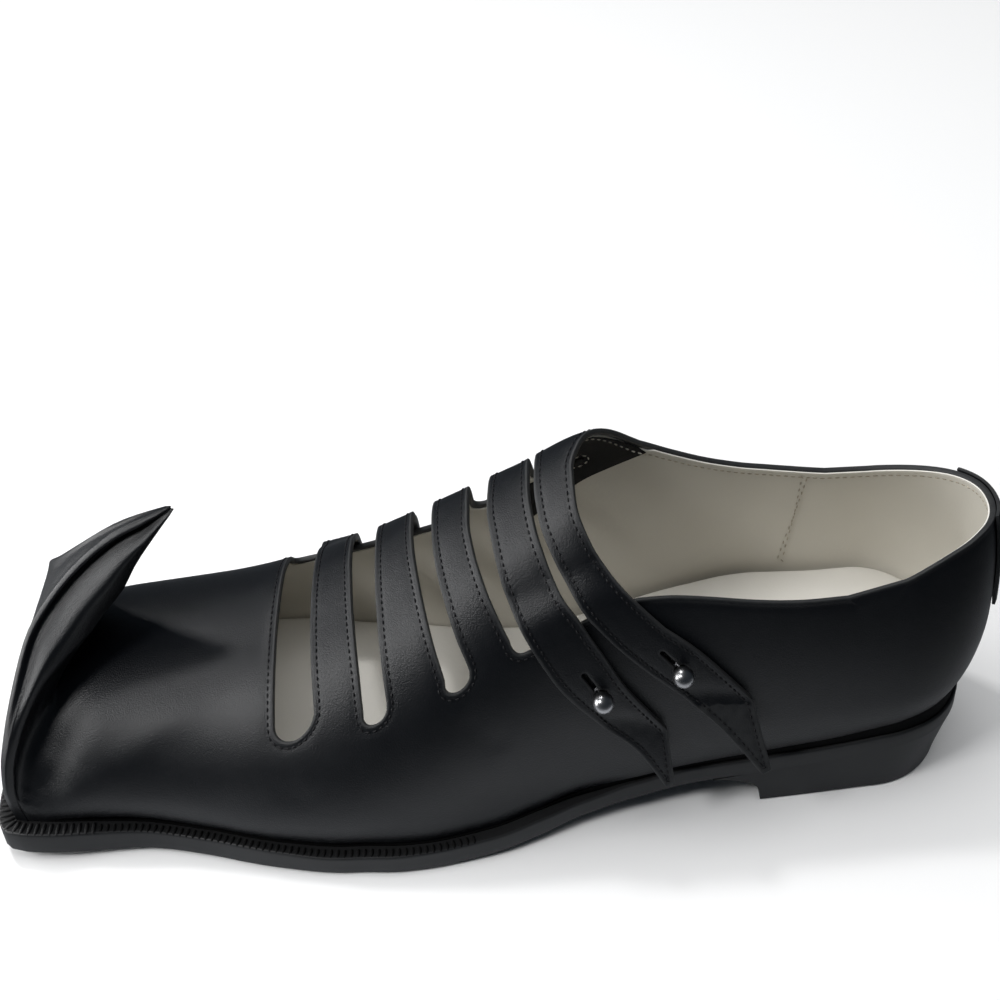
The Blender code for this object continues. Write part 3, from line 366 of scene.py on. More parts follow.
def collar_heel(count=73):
    angles = np.linspace(-90, 90, count)[1:-1]
    heights = smooth(COLLAR_HEEL, angles, 1)
    return [heel_point(np.radians(a), heel_reach(np.radians(a), z)) for a, z in zip(angles, heights)]


def collar_opening():
    """Slot four, the gap between D and E and the collar, joined where straps D and E are free."""
    end = LATERAL_ENDS["slot4"]
    loop = strap_edge(C_REAR, SLOT4_MEDIAL - SLOT4_ROUND, end + WIDE_ROUND)
    beside = (COLLAR_LATERAL[0][0] + 2.2, COLLAR_LATERAL[0][1])
    loop += turned(loop[-1], (loop[-1][0] - 1.2, end), beside)
    loop += curve([beside] + list(COLLAR_LATERAL)) + collar_heel()
    loop += curve(list(COLLAR_MEDIAL) + strap_edge(E_REAR, E_ROOT, E_ROOT - 3)[:1])
    loop += strap_edge(E_REAR, E_ROOT - 1.6, LATERAL_CUT)[:-1]
    loop += cut_line(E_FRONT, E_REAR, LATERAL_CUT)[::-1]
    gap_end, slot_stop = GAP5_MEDIAL - GAP5_ROUND, SLOT4_MEDIAL - SLOT4_ROUND
    loop += strap_edge(E_FRONT, LATERAL_CUT, gap_end)[1:]
    front, rear = loop[-1][0], float(smooth(STRAPS, gap_end, D_REAR))
    loop += slot_end(front, rear, gap_end, GAP5_ROUND)[1::2]
    loop += strap_edge(D_REAR, gap_end, LATERAL_CUT)[:-1]
    loop += cut_line(D_FRONT, D_REAR, LATERAL_CUT)[::-1]
    loop += strap_edge(D_FRONT, LATERAL_CUT, slot_stop)[1:]
    return loop + slot_end(loop[-1][0], loop[0][0], slot_stop, SLOT4_ROUND)


print("opening points:", len(medial_opening()), len(collar_opening()))

# %% [markdown]
# ## Loops, nets and pieces
#
# A Boolean could cut the slots from a smooth upper, but it leaves ragged triangles on a thin wall. Here
# each flat pattern is filled with even triangles by a constrained Delaunay net, lifted onto the last,
# given its thickness, and its edges are rolled over in a few rows. Extra rows of points beside every cut
# edge let the stitch line be a real groove. Each point also keeps its distance to the nearest cut edge,
# which the finishes read.

# %% Loops with outward directions
# Distance that counts as far from any edge, and how many points are handled at a time
FAR, BLOCK = 40.0, 2000


class Loop:
    """A closed outline, the direction off the leather at each point, and the edges that are no real edge."""

    def __init__(self, points, hole):
        self.points = np.array(points, float)
        ahead = np.roll(self.points, -1, axis=0)
        tangent = ahead - np.roll(self.points, 1, axis=0)
        out = np.stack([tangent[:, 1], -tangent[:, 0]], axis=1)
        area = (self.points[:, 0] * ahead[:, 1] - ahead[:, 0] * self.points[:, 1]).sum()
        out *= np.sign(area) * (-1 if hole else 1)
        self.out = out / np.linalg.norm(out, axis=1)[:, None]
        level = self.points[:, 1]
        on_cut = (level == MEDIAL_CUT) | (level == LATERAL_CUT)
        self.cut = on_cut & (level == ahead[:, 1])
        for k in np.nonzero(self.cut ^ np.roll(self.cut, 1))[0]:
            self.out[k] = self.strap_out(k)
        self.real = ~(self.cut & np.roll(self.cut, 1))

    def strap_out(self, k):
        """At the end of a cut line: straight off the strap's own edge, the same for both nets."""
        p, q = self.points[k]
        column = 1 + int(np.argmin([abs(smooth(STRAPS, q, c) - p) for c in STRAP_EDGES]))
        slope = smooth(STRAPS, q + 0.5, column) - smooth(STRAPS, q - 0.5, column)
        out = np.array([1.0, -slope]) * (1 if column % 2 else -1)
        return out / np.linalg.norm(out)

    def distance(self, points):
        """Distance of pattern points to the real edges of this loop."""
        ahead, real = np.roll(self.points, -1, axis=0), np.nonzero(~self.cut)[0]
        start, along = self.points[real], (ahead - self.points)[real]
        near = np.full(len(points), FAR)
        for first in range(0, len(points), BLOCK):
            some = points[first:first + BLOCK, None]
            share = ((some - start) * along).sum(axis=2) / (along ** 2).sum(axis=1)
            gap = some - start - np.clip(share, 0, 1)[:, :, None] * along
            near[first:first + BLOCK] = np.sqrt((gap ** 2).sum(axis=2)).min(axis=1)
        return near


def inside(points, loop):
    """Whether each pattern point is inside a closed loop."""
    x0, y0 = loop[:, 0], loop[:, 1]
    x1, y1 = np.roll(x0, -1), np.roll(y0, -1)
    rise = np.where(y1 == y0, 1, y1 - y0)
    found = np.zeros(len(points), bool)
    for first in range(0, len(points), BLOCK):
        x, y = points[first:first + BLOCK, :1], points[first:first + BLOCK, 1:]
        across = (y0 > y) != (y1 > y)
        crossings = across & (x < x0 + (y - y0) * (x1 - x0) / rise)
        found[first:first + BLOCK] = crossings.sum(axis=1) % 2 == 1
    return found


# %% Even triangles inside an outline
# Row spacing of an even grid, then shares of the wanted distance that points keep from edges and rows
ROW_SHARE, EDGE_CLEAR, GRID_CLEAR, BESIDE_CLEAR = 0.87, 0.93, 0.6, 0.5
LEAST_AREA, SAME_POINT = 1e-4, 1e-5


def net(outline, holes, step, rows=(), along_outline=False):
    """Points (outline, holes, rows beside the edges, grid) and faces of a pattern piece."""
    loops = [outline] + holes
    points = np.concatenate([loop.points for loop in loops])
    edges, start = [], 0
    for loop in loops:
        count = len(loop.points)
        edges += [(start + k, start + (k + 1) % count) for k in range(count)]
        start += count
    edged = ([outline] if along_outline else []) + holes
    beside = [loop.points[loop.real] - depth * loop.out[loop.real] for loop in edged for depth in rows]
    depths = [np.full(loop.real.sum(), depth) for loop in edged for depth in rows]
    low, high = points.min(axis=0), points.max(axis=0)
    lines = np.arange(low[1], high[1], step * ROW_SHARE)
    grid = np.array([(x + (j % 2) * step / 2, y) for j, y in enumerate(lines)
                     for x in np.arange(low[0], high[0], step)])
    tree = KDTree(len(points))
    for k, (x, y) in enumerate(points):
        tree.insert((x, y, 0), k)
    tree.balance()
    free = np.concatenate(beside + [grid])
    need = np.concatenate(depths + [np.full(len(grid), step * GRID_CLEAR)])
    reach = np.array([tree.find((x, y, 0))[2] for x, y in free])
    keep = (reach > EDGE_CLEAR * need) & inside(free, outline.points)
    for hole in holes:
        keep &= ~inside(free, hole.points)
    if rows:
        clear = np.min([loop.distance(free) for loop in edged], axis=0)
        is_grid = np.arange(len(free)) >= len(free) - len(grid)
        keep &= ~is_grid | (clear > max(rows) + BESIDE_CLEAR * step)
        keep &= is_grid | (clear > EDGE_CLEAR * need)
    points = np.concatenate([points, free[keep]])
    made = delaunay_2d_cdt([Vector(p) for p in points], edges, [], 0, SAME_POINT)
    source = [origin[0] for origin in made[3]]
    faces = np.array([[source[k] for k in face] for face in made[2]])
    corners = points[faces]
    first, second = corners[:, 1] - corners[:, 0], corners[:, 2] - corners[:, 0]
    area = np.abs(first[:, 0] * second[:, 1] - first[:, 1] * second[:, 0]) / 2
    middle = corners.mean(axis=1)
    keep = inside(middle, outline.points) & (area > LEAST_AREA)
    for hole in holes:
        keep &= ~inside(middle, hole.points)
    return points, faces[keep]


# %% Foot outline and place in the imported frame
TOE_FRONT, POINT_CORNER, POINT_MID = 283.5, (281.5, 38.6), -1.75
VALLEY_CREST, VALLEY_CORNER = 265.0, 278.0
TOE_SHARES = np.array([1.0, 0.985, 0.97, 0.945, 0.92, 0.885, 0.85, 0.77, 0.7, 0.58, 0.45, 0.3, 0.15, 0.0])


def toe_base(v):
    """Bottom edge of the toe's front panel, v from -1 (lateral corner) to 1."""
    l = TOE_FRONT - (TOE_FRONT - POINT_CORNER[0]) * np.abs(v) ** 6
    return np.stack([l, POINT_MID + POINT_CORNER[1] * v, feather_z(l)], axis=1)


def foot_loop(grow):
    """Closed outline at the feather line, moved outwards by grow(l): from the heel's back, lateral first."""
    angles = np.radians(np.linspace(0, 90, 34))
    sides = np.linspace(HEEL_CENTRE, VALLEY_CORNER, 130)[1:]
    one = np.ones(len(sides))
    lateral = np.concatenate([heel_ribs(-angles)[:, -1], ribs(sides, -one)[:, -1], toe_base(-TOE_SHARES)])
    medial = np.concatenate([heel_ribs(angles)[:, -1], ribs(sides, one)[:, -1], toe_base(TOE_SHARES)])
    loop = np.concatenate([lateral, medial[-2:0:-1]])[:, :2]
    along = np.roll(loop, -1, axis=0) - np.roll(loop, 1, axis=0)
    along = (along + np.roll(along, 1, axis=0) + np.roll(along, -1, axis=0)) / 3
    outward = np.stack([-along[:, 1], along[:, 0]], axis=1)
    outward /= np.linalg.norm(outward, axis=1)[:, None]
    if ((loop - loop.mean(axis=0)) * outward).sum() < 0:
        outward = -outward
    return loop + grow(loop[:, 0])[:, None] * outward


sole_loop = foot_loop(ledge)
sole_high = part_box("outsole")[1]
SHIFT = (sole_high.x / MM + sole_loop[:, 0].min(), sole_high.y / MM - sole_loop[:, 1].max())
print("shift from shoe to frame, mm: %.2f %.2f" % SHIFT)


def place(points):
    """Shoe millimetres (l, y, z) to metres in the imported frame."""
    points = np.asarray(points, float)
    return np.stack([SHIFT[0] - points[:, 0], SHIFT[1] + points[:, 1], points[:, 2]], axis=1) * MM


# %% Pieces
class Piece:
    """Gathers the points and faces of one piece in shoe millimetres."""

    def __init__(self):
        self.points, self.edge, self.faces = [], [], []

    def add(self, points, edge=FAR):
        start = len(self.points)
        self.points += [tuple(p) for p in points]
        self.edge += list(np.broadcast_to(edge, len(points)))
        return list(range(start, len(self.points)))

    def face(self, *corners):
        kept = [c for k, c in enumerate(corners) if c != corners[k - 1]]
        if len(kept) > 2:
            self.faces.append(kept)

    def strip(self, first, second):
        for k in range(len(first) - 1):
            self.face(first[k], first[k + 1], second[k + 1], second[k])

    def sheet(self, rows):
        for first, second in zip(rows[:-1], rows[1:]):
            self.strip(first, second)

    def ring(self, first, second):
        self.strip(first + first[:1], second + second[:1])

    def bands(self, rings):
        for low, high in zip(rings[:-1], rings[1:]):
            self.ring(low, high)

    def layers(self, faces, above, below):
        """The faces of a net on its upper layer and, turned round, on its lower one."""
        for a, b, c in faces:
            self.face(above[a], above[b], above[c])
            self.face(below[a], below[c], below[b])

    def ladder(self, loop):
        """Caps a loop that starts at one end of the shoe, rung by rung."""
        count = len(loop)
        for k in range(count // 2):
            self.face(loop[k], loop[k + 1], loop[count - 1 - k], loop[(count - k) % count])

    def capped(self, rings):
        """Bands between closed rings, with the first and the last ring capped."""
        self.bands(rings)
        self.ladder(rings[0])
        self.ladder(rings[-1])

    def make(self, name, slot, finish, nodes=(), sharp=42):
        mesh = bpy.data.meshes.new(name)
        mesh.from_pydata([tuple(p) for p in place(self.points)], [], self.faces)
        distance = mesh.attributes.new("edge", "FLOAT", "POINT")
        distance.data.foreach_set("value", np.array(self.edge, np.float32))
        work = bmesh.new()
        work.from_mesh(mesh)
        bmesh.ops.remove_doubles(work, verts=work.verts, dist=5e-6)
        bmesh.ops.delete(work, geom=[v for v in work.verts if not v.link_faces], context="VERTS")
        bmesh.ops.recalc_face_normals(work, faces=work.faces)
        if work.calc_volume(signed=True) < 0:
            bmesh.ops.reverse_faces(work, faces=work.faces)
        open_edges = sum(len(e.link_faces) != 2 for e in work.edges)
        work.to_mesh(mesh)
        work.free()
        mesh.shade_smooth()
        mesh.set_sharp_from_angle(angle=np.radians(sharp))
        return settle(mesh, name, finish, nodes, "open edges %d" % open_edges)


def settle(mesh, name, finish, nodes=(), note=""):
    """Puts a finished mesh in the scene: its material, its body and the nodes it stands for."""
    mesh.materials.clear()
    mesh.materials.append(finish)
    obj = bpy.data.objects.new(name, mesh)
    bpy.context.scene.collection.objects.link(obj)
    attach(obj, "root")
    if nodes:
        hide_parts(*nodes)
    print(name, len(mesh.polygons), "faces", note)
    return obj


# %% [markdown]
# ## Finishes
#
# The upper is smooth black calf with a satin face and a grain of small pebbles that sparkles where the
# light grazes it. Pictures of leather would stretch over the toe, so noise makes the grain. Grain and rubbed
# edges occur on several pieces, so each is a node group with its own sizes, and the shader stays in the
# material. The edge mask also paints light and shade: painted shade on the sole's ledge beside the upper
# and a painted highlight on strap E's tip. Darker leathers also paint shade: on the welt's side ribs, on
# the facing inside and on the wedge at the heel. Object coordinates keep every pattern still on its piece.

# %% Shared node groups
def group(name, inputs, outputs):
    """An empty shader group with named sockets: its tree, its input sockets and its output sockets."""
    tree = bpy.data.node_groups.new(name, "ShaderNodeTree")
    for title, kind, value in inputs:
        socket = tree.interface.new_socket(title, in_out="INPUT", socket_type=kind)
        if value is not None:
            socket.default_value = value
    for title in outputs:
        tree.interface.new_socket(title, in_out="OUTPUT", socket_type="NodeSocketFloat")
    return tree, tree.nodes.new("NodeGroupInput").outputs, tree.nodes.new("NodeGroupOutput").inputs


def add_node(tree, kind, settings=None, links=None, values=None):
    """A node with its settings, its linked inputs and its plain values, by socket name or number."""
    node = tree.nodes.new(kind)
    for key, value in (settings or {}).items():
        setattr(node, key, value)
    for key, value in (values or {}).items():
        node.inputs[key].default_value = value
    for key, socket in (links or {}).items():
        tree.links.new(socket, node.inputs[key])
    return node


def math(tree, operation, a, b=None, clamp=False):
    node = tree.nodes.new("ShaderNodeMath")
    node.operation = operation
    node.use_clamp = clamp
    for k, value in enumerate((a, b)):
        if isinstance(value, (int, float)):
            node.inputs[k].default_value = value
        elif value is not None:
            tree.links.new(value, node.inputs[k])
    return node.outputs[0]


def grain_group():
    """Pebbled grain: Height for a bump and Mottle, a slow change over the hide."""
    sockets = (("Vector", "NodeSocketVector", None), ("Scale", "NodeSocketFloat", 1000.0))
    tree, given, out = group("leather_grain", sockets, ("Height", "Mottle"))
    pebble = add_node(tree, "ShaderNodeTexVoronoi", {"feature": "SMOOTH_F1"},
                      {"Vector": given["Vector"], "Scale": given["Scale"]}, {"Smoothness": 0.6})
    pores = add_node(tree, "ShaderNodeTexNoise", None,
                     {"Vector": given["Vector"], "Scale": math(tree, "MULTIPLY", given["Scale"], 1.7)},
                     {"Detail": 3.0, "Roughness": 0.6})
    hide = add_node(tree, "ShaderNodeTexNoise", None,
                    {"Vector": given["Vector"], "Scale": math(tree, "MULTIPLY", given["Scale"], 0.045)},
                    {"Detail": 2.0})
    height = math(tree, "ADD", math(tree, "MULTIPLY", pebble.outputs["Distance"], -0.7),
                  math(tree, "MULTIPLY", pores.outputs["Fac"], 0.6))
    tree.links.new(height, out["Height"])
    tree.links.new(hide.outputs["Fac"], out["Mottle"])
    return tree


def edge_group():
    """Edge mask for wear and for painted light and shade: Mask is 1 on the edge and gone within Width,
    broken up by noise.
    """
    sockets = (("Vector", "NodeSocketVector", None), ("Distance", "NodeSocketFloat", 40.0),
               ("Width", "NodeSocketFloat", 0.6))
    tree, given, out = group("edge_wear_and_paint_mask", sockets, ("Mask",))
    rough = add_node(tree, "ShaderNodeTexNoise", None, {"Vector": given["Vector"]},
                     {"Scale": 420.0, "Detail": 3.0})
    share = math(tree, "DIVIDE", given["Distance"], given["Width"])
    uneven = math(tree, "MULTIPLY", math(tree, "SUBTRACT", rough.outputs["Fac"], 0.5), 1.1)
    mask = math(tree, "SUBTRACT", 1.0, math(tree, "ADD", share, uneven, clamp=True), clamp=True)
    tree.links.new(mask, out["Mask"])
    return tree


GRAIN, EDGE_MASK_WEAR_AND_PAINT = grain_group(), edge_group()
print("shared groups:", GRAIN.name, EDGE_MASK_WEAR_AND_PAINT.name)


# %% Materials
def material(name, shader_values):
    made = bpy.data.materials.new(name)
    made.use_nodes = True
    shader = made.node_tree.nodes["Principled BSDF"]
    for key, value in shader_values.items():
        shader.inputs[key].default_value = value
    return made, made.node_tree, shader


def mixed(tree, share, a, b):
    """Colour a where share is 0, colour b where it is 1."""
    node = add_node(tree, "ShaderNodeMix", {"data_type": "RGBA"})
    tree.links.new(share, node.inputs["Factor"])
    node.inputs["A"].default_value = (*a, 1.0)
    node.inputs["B"].default_value = (*b, 1.0)
    return node.outputs["Result"]


def ranged(tree, value, low, high):
    node = add_node(tree, "ShaderNodeMapRange", None, {"Value": value}, {"To Min": low, "To Max": high})
    return node.outputs["Result"]


BUMP_DISTANCE, WEAR_AND_PAINT_SHARE, WORN_GLOSS = 0.00012, 0.75, 0.2


def leather(name, dark, light, wear_and_paint, roughness, grain, depth, width, shader_values):
    """A dyed leather: mottled colour, an edge colour for wear and for painted light and shade,
    uneven gloss and a bumped grain.
    """
    made, tree, shader = material(name, shader_values)
    spot = add_node(tree, "ShaderNodeTexCoord").outputs["Object"]
    pebbles = add_node(tree, "ShaderNodeGroup", {"node_tree": GRAIN}, {"Vector": spot}, {"Scale": grain})
    hide = mixed(tree, pebbles.outputs["Mottle"], dark, light)
    distance = add_node(tree, "ShaderNodeAttribute", {"attribute_name": "edge"}).outputs["Fac"]
    wear_and_paint_edge = add_node(tree, "ShaderNodeGroup", {"node_tree": EDGE_MASK_WEAR_AND_PAINT}, {"Vector": spot, "Distance": distance},
                    {"Width": width})
    # The edge colour marks wear on cut edges; where a piece's edge values are set, not measured, it paints
    # shade on the sole's ledge and a highlight on strap E's tip.
    colour = add_node(tree, "ShaderNodeMix", {"data_type": "RGBA"})
    tree.links.new(math(tree, "MULTIPLY", wear_and_paint_edge.outputs["Mask"], WEAR_AND_PAINT_SHARE), colour.inputs["Factor"])
    tree.links.new(hide, colour.inputs["A"])
    colour.inputs["B"].default_value = (*wear_and_paint, 1.0)
    tree.links.new(colour.outputs["Result"], shader.inputs["Base Color"])
    gloss = ranged(tree, pebbles.outputs["Mottle"], roughness[0], roughness[1])
    tree.links.new(math(tree, "ADD", gloss, math(tree, "MULTIPLY", wear_and_paint_edge.outputs["Mask"], WORN_GLOSS)),
                   shader.inputs["Roughness"])
    bump = add_node(tree, "ShaderNodeBump", None, {"Height": pebbles.outputs["Height"]},
                    {"Strength": depth, "Distance": BUMP_DISTANCE})
    tree.links.new(bump.outputs["Normal"], shader.inputs["Normal"])
    return made


black_calf = leather("black_calf", (0.0022, 0.0028, 0.0042), (0.0042, 0.0050, 0.0066),
                     (0.032, 0.033, 0.034), (0.36, 0.44), 2500.0, 0.7, 0.5, {"Specular IOR Level": 0.5})
# The sole stain's edge colour is darker than the stain: on the ledge beside the upper it paints the shade of
# the gap there.
sole_stain = leather("sole_stain", (0.0075, 0.0078, 0.0085), (0.012, 0.0125, 0.0135),
                     (0.0022, 0.0022, 0.0026), (0.44, 0.54), 700.0, 0.12, 0.5, {"Specular IOR Level": 0.5})
# A darker copy of the sole stain for the side ribs; the extra darkness paints the shade of the recess they
# sit in.
welt_stain_painted_shade = leather("welt_stain_painted_shade", (0.0014, 0.0015, 0.0018), (0.0024, 0.0025, 0.0029),
                     (0.003, 0.003, 0.003), (0.55, 0.68), 900.0, 0.2, 0.5, {"Specular IOR Level": 0.2})
# Matte calf for the facing and the stud's back inside, coloured darker than the upper's calf to paint the
# shade inside the shoe.
facing_calf_painted_shade = leather("facing_calf_painted_shade", (0.0014, 0.0016, 0.002), (0.0026, 0.0028, 0.0033),
                      (0.012, 0.012, 0.013), (0.62, 0.74), 1800.0, 0.4, 0.5, {"Specular IOR Level": 0.14})
# The wedge is black leather, coloured darker than the calf; the extra darkness paints the shade in the recess
# above the sole's edge.
wedge_black_and_shade = leather("wedge_black_and_shade", (0.0010, 0.0010, 0.0012), (0.0018, 0.0018, 0.0021),
                    (0.002, 0.002, 0.002), (0.75, 0.9), 500.0, 0.2, 0.4, {"Specular IOR Level": 0.12})
lining_hide = leather("lining_hide", (0.55, 0.525, 0.465), (0.62, 0.595, 0.535), (0.8, 0.785, 0.74),
                      (0.55, 0.7), 800.0, 0.3, 0.9, {"Specular IOR Level": 0.35})
insole_hide = leather("insole_hide", (0.74, 0.72, 0.67), (0.82, 0.80, 0.75), (0.62, 0.6, 0.55),
                      (0.5, 0.65), 800.0, 0.3, 0.8, {"Specular IOR Level": 0.35})
leathers = (black_calf, sole_stain, welt_stain_painted_shade, facing_calf_painted_shade, wedge_black_and_shade, lining_hide, insole_hide)
print("leathers:", ", ".join(finish.name for finish in leathers))


# %% Thread and steel
def thread_finish(name, colour):
    made, tree, shader = material(name, {"Roughness": 0.6, "Specular IOR Level": 0.3})
    spot = add_node(tree, "ShaderNodeTexCoord").outputs["Object"]
    twist = add_node(tree, "ShaderNodeTexWave", None, {"Vector": spot}, {"Scale": 900.0, "Distortion": 3.0})
    pale = tuple(min(1.0, 1.6 * c) for c in colour)
    tree.links.new(mixed(tree, twist.outputs["Fac"], colour, pale), shader.inputs["Base Color"])
    bump = add_node(tree, "ShaderNodeBump", None, {"Height": twist.outputs["Fac"]},
                    {"Strength": 0.5, "Distance": 0.0001})
    tree.links.new(bump.outputs["Normal"], shader.inputs["Normal"])
    return made


def steel_finish():
    made, tree, shader = material("stud_steel_finish", {"Metallic": 1.0, "Base Color": (0.42, 0.42, 0.43, 1)})
    spot = add_node(tree, "ShaderNodeTexCoord").outputs["Object"]
    handled = add_node(tree, "ShaderNodeTexNoise", None, {"Vector": spot}, {"Scale": 600.0, "Detail": 4.0})
    tree.links.new(ranged(tree, handled.outputs["Fac"], 0.2, 0.42), shader.inputs["Roughness"])
    scratch = add_node(tree, "ShaderNodeTexNoise", None, {"Vector": spot}, {"Scale": 2600.0, "Detail": 2.0})
    bump = add_node(tree, "ShaderNodeBump", None, {"Height": scratch.outputs["Fac"]},
                    {"Strength": 0.08, "Distance": 0.0001})
    tree.links.new(bump.outputs["Normal"], shader.inputs["Normal"])
    return made


black_thread = thread_finish("black_thread", (0.006, 0.006, 0.007))
pale_thread = thread_finish("pale_thread", (0.5, 0.48, 0.43))
tan_thread = thread_finish("tan_thread", (0.3, 0.27, 0.215))
stud_steel = steel_finish()
print("threads and metal:", black_thread.name, pale_thread.name, tan_thread.name, stud_steel.name)

# %% [markdown]
# ## The upper's skin
#
# The skin is one sheet of calf, 1.6 mm thick, folded up at the toe into a hollow point. Its edges are cut
# raw, rubbed and stitched close by. A bump map could draw the stitch line, but it would vanish from a
# slanted view, so the net carries rows of points beside each edge, pressed down a little along the
# thread, and light breaks there as on the real shoe. The main creases are listed one by one as soft
# troughs and ridges.

# %% Relief of the sheet
SKIN = 1.6
STITCH_IN, EDGE_PROUD, THREAD_SUNK, THREAD_HALF = 1.4, 0.08, 0.20, 0.40
ROWS = (0.8, STITCH_IN, 2.0)
SKIN_STEP = 2.4

# Rolled edge: how far each row stands off the cut, and its share of the thickness
ROLL = ((0.2, 0.04), (0.32, 0.22), (0.34, 0.72), (0.2, 0.97))

# Soft folds, one by one: run on the pattern, height (troughs negative), half-width
FOLDS = (
    (((276, -63), (264, -54), (250, -46), (238, -37), (222, -29)), 0.45, 6.0),
    (((268, -63), (244, -64), (220, -64), (196, -66)), -0.35, 7.0),
    (((203, -58), (200, -64), (192, -70)), -0.25, 3.0),
    (((152, -61), (147, -70), (139, -80)), -0.3, 4.0),
    (((126, -60), (118, -72), (104, -84)), -0.25, 5.0))


def near_run(points, run):
    """Distance of pattern points to a run, and how far along it (0 to 1) the nearest place is."""
    run = np.array(curve(run, 2.0))
    gap = np.linalg.norm(points[:, None] - run[None], axis=2)
    return gap.min(axis=1), gap.argmin(axis=1) / (len(run) - 1)


def stitch_relief(edge):
    """Edge strip slightly proud, thread line pressed in."""
    strip = EDGE_PROUD * (1 - ease(edge, 0.9, 2.0))
    return strip - THREAD_SUNK * np.exp(-((edge - STITCH_IN) / THREAD_HALF) ** 2)


def strap_depth(points):
    """Distance from points on a cut line to the nearest strap edge, alike for both nets that meet there."""
    p, q = points[:, 0], points[:, 1]
    near = np.full(len(points), FAR)
    for column in STRAP_EDGES:
        slope = smooth(STRAPS, q + 0.5, column) - smooth(STRAPS, q - 0.5, column)
        near = np.minimum(near, np.abs(smooth(STRAPS, q, column) - p) / np.sqrt(1 + slope ** 2))
    return near


def edge_distance(loops, points):
    """Distance of net points to the real edges of loops, each given with its first index in the net."""
    near = np.min([loop.distance(points) for loop, first in loops], axis=0)
    for loop, first in loops:
        on_cut = first + np.nonzero(~loop.real)[0]
        near[on_cut] = strap_depth(points[on_cut])
    return near


def fold_relief(points):
    total = np.zeros(len(points))
    for run, height, half in FOLDS:
        for first in range(0, len(points), BLOCK):
            gap, share = near_run(points[first:first + BLOCK], run)
            fade = ease(share, 0, 0.25) * (1 - ease(share, 0.75, 1))
            total[first:first + BLOCK] += height * fade * np.exp(-(gap / half) ** 2)
    return total


def roll_edge(piece, loop, outer, inner, surface, normal, thick):
    """Rolls an edge over from the outer to the inner face, leaving out the cut lines."""
    rows = [outer]
    for off, share in ROLL:
        rows.append(piece.add(surface(loop.points + off * loop.out) - (share * thick)[:, None] * normal, 0.0))
    rows.append(inner)
    count = len(outer)
    for first, second in zip(rows[:-1], rows[1:]):
        for k in np.nonzero(~loop.cut)[0]:
            following = (k + 1) % count
            piece.face(first[k], first[following], second[following], second[k])


print("folds laid by hand:", len(FOLDS))

# %% Valley behind the point
TROUGH, TROUGH_HALF, VALLEY_POWER = 3.0, 7.0, 2.5
EVEN = np.linspace(-1, 1, 75)
COLUMNS = np.sin(EVEN * np.pi / 2) * 0.45 + EVEN * 0.55


def valley_station(v):
    return VALLEY_CREST + (VALLEY_CORNER - VALLEY_CREST) * np.abs(v) ** VALLEY_POWER


def valley_point(v):
    p = float(valley_station(v))
    return (p, v * girth(p, np.sign(v) or 1))


def toe_trough(points):
    """Hollow of the vamp beside the turned-up point, deepest half way down each side."""
    total = np.zeros(len(points))
    for side in (-1, 1):
        run = [valley_point(side * v) for v in (0.25, 0.4, 0.55, 0.7, 0.84, 0.97)]
        gap, share = near_run(points, run)
        deep = TROUGH * ease(share, 0, 0.5) * (1 - 0.9 * ease(share, 0.7, 1))
        total -= deep * np.exp(-(gap / TROUGH_HALF) ** 2)
    return total


valley = [valley_point(v) for v in COLUMNS]
print("valley: station %.0f at the crest, %.0f at the corners" % (VALLEY_CREST, VALLEY_CORNER))

# %% Outline of the main sheet
side_steps = np.linspace(VALLEY_CORNER, HEEL_CENTRE, 120)[1:-1]
lateral = [(p, -girth(p, -1)) for p in side_steps]
round_heel = [heel_point(a, heel_girth(a)) for a in np.radians(np.linspace(-90, 90, 61))]
medial = [(p, girth(p, 1)) for p in side_steps[::-1]]
outline = Loop(lateral + round_heel + medial + valley[::-1], hole=False)
openings = [Loop(medial_opening(), hole=True), Loop(collar_opening(), hole=True)]
base = len(lateral) + len(round_heel) + len(medial)
print("outline:", len(outline.points), "points; openings:", [len(opening.points) for opening in openings])

# %% Main sheet
CHANNEL, CHANNEL_HEIGHT = 1.0, 3.4
flat, faces = net(outline, openings, SKIN_STEP, ROWS)
after_outline = len(outline.points)
after_first = after_outline + len(openings[0].points)
edge = edge_distance([(openings[0], after_outline), (openings[1], after_first)], flat)
normal = normals(flat)
on_last = last(flat)
relief = stitch_relief(edge) + fold_relief(flat) * ease(edge, 1, 5)
relief[base:len(outline.points)] = 0
above_welt = on_last[:, 2] - feather_z(on_last[:, 0])
along_welt = ease(on_last[:, 0], 100, 125) * (1 - ease(on_last[:, 0], 266, 275))
relief -= CHANNEL * along_welt * (1 - ease(above_welt, 0, CHANNEL_HEIGHT))
hollow = toe_trough(flat)
outer = on_last + (relief + hollow)[:, None] * normal
inner = on_last + (hollow - SKIN)[:, None] * normal
standing = np.arange(base)
inner[standing, 2] = feather_z(inner[standing, 0])
for corner in (base, base + len(valley) - 1):
    inner[corner, 2] = feather_z(inner[corner, 0])

skin = Piece()
out_ids, in_ids = skin.add(outer, edge), skin.add(inner, edge)
skin.layers(faces, out_ids, in_ids)
start = len(outline.points)
for opening in openings:
    here = slice(start, start + len(opening.points))
    drop = relief[here, None] * normal[here]
    roll_edge(skin, opening, out_ids[here], in_ids[here],
              lambda at, drop=drop: last(at) + drop, normal[here], np.full(len(opening.points), SKIN))
    start += len(opening.points)
print("main sheet:", len(flat), "points,", len(faces), "faces")

# %% [markdown]
# ## The turned-up point
#
# At the toe the vamp turns up into a flat hollow point, two layers of leather joined along a thin rolled
# lip. Sculpting would give it freely, but it couldn't be corrected by a size. So it is lofted: each
# column runs from the valley behind the point up its back face, round the broad side band, through the
# groove beside the lip, over the lip and down the front panel to the welt.

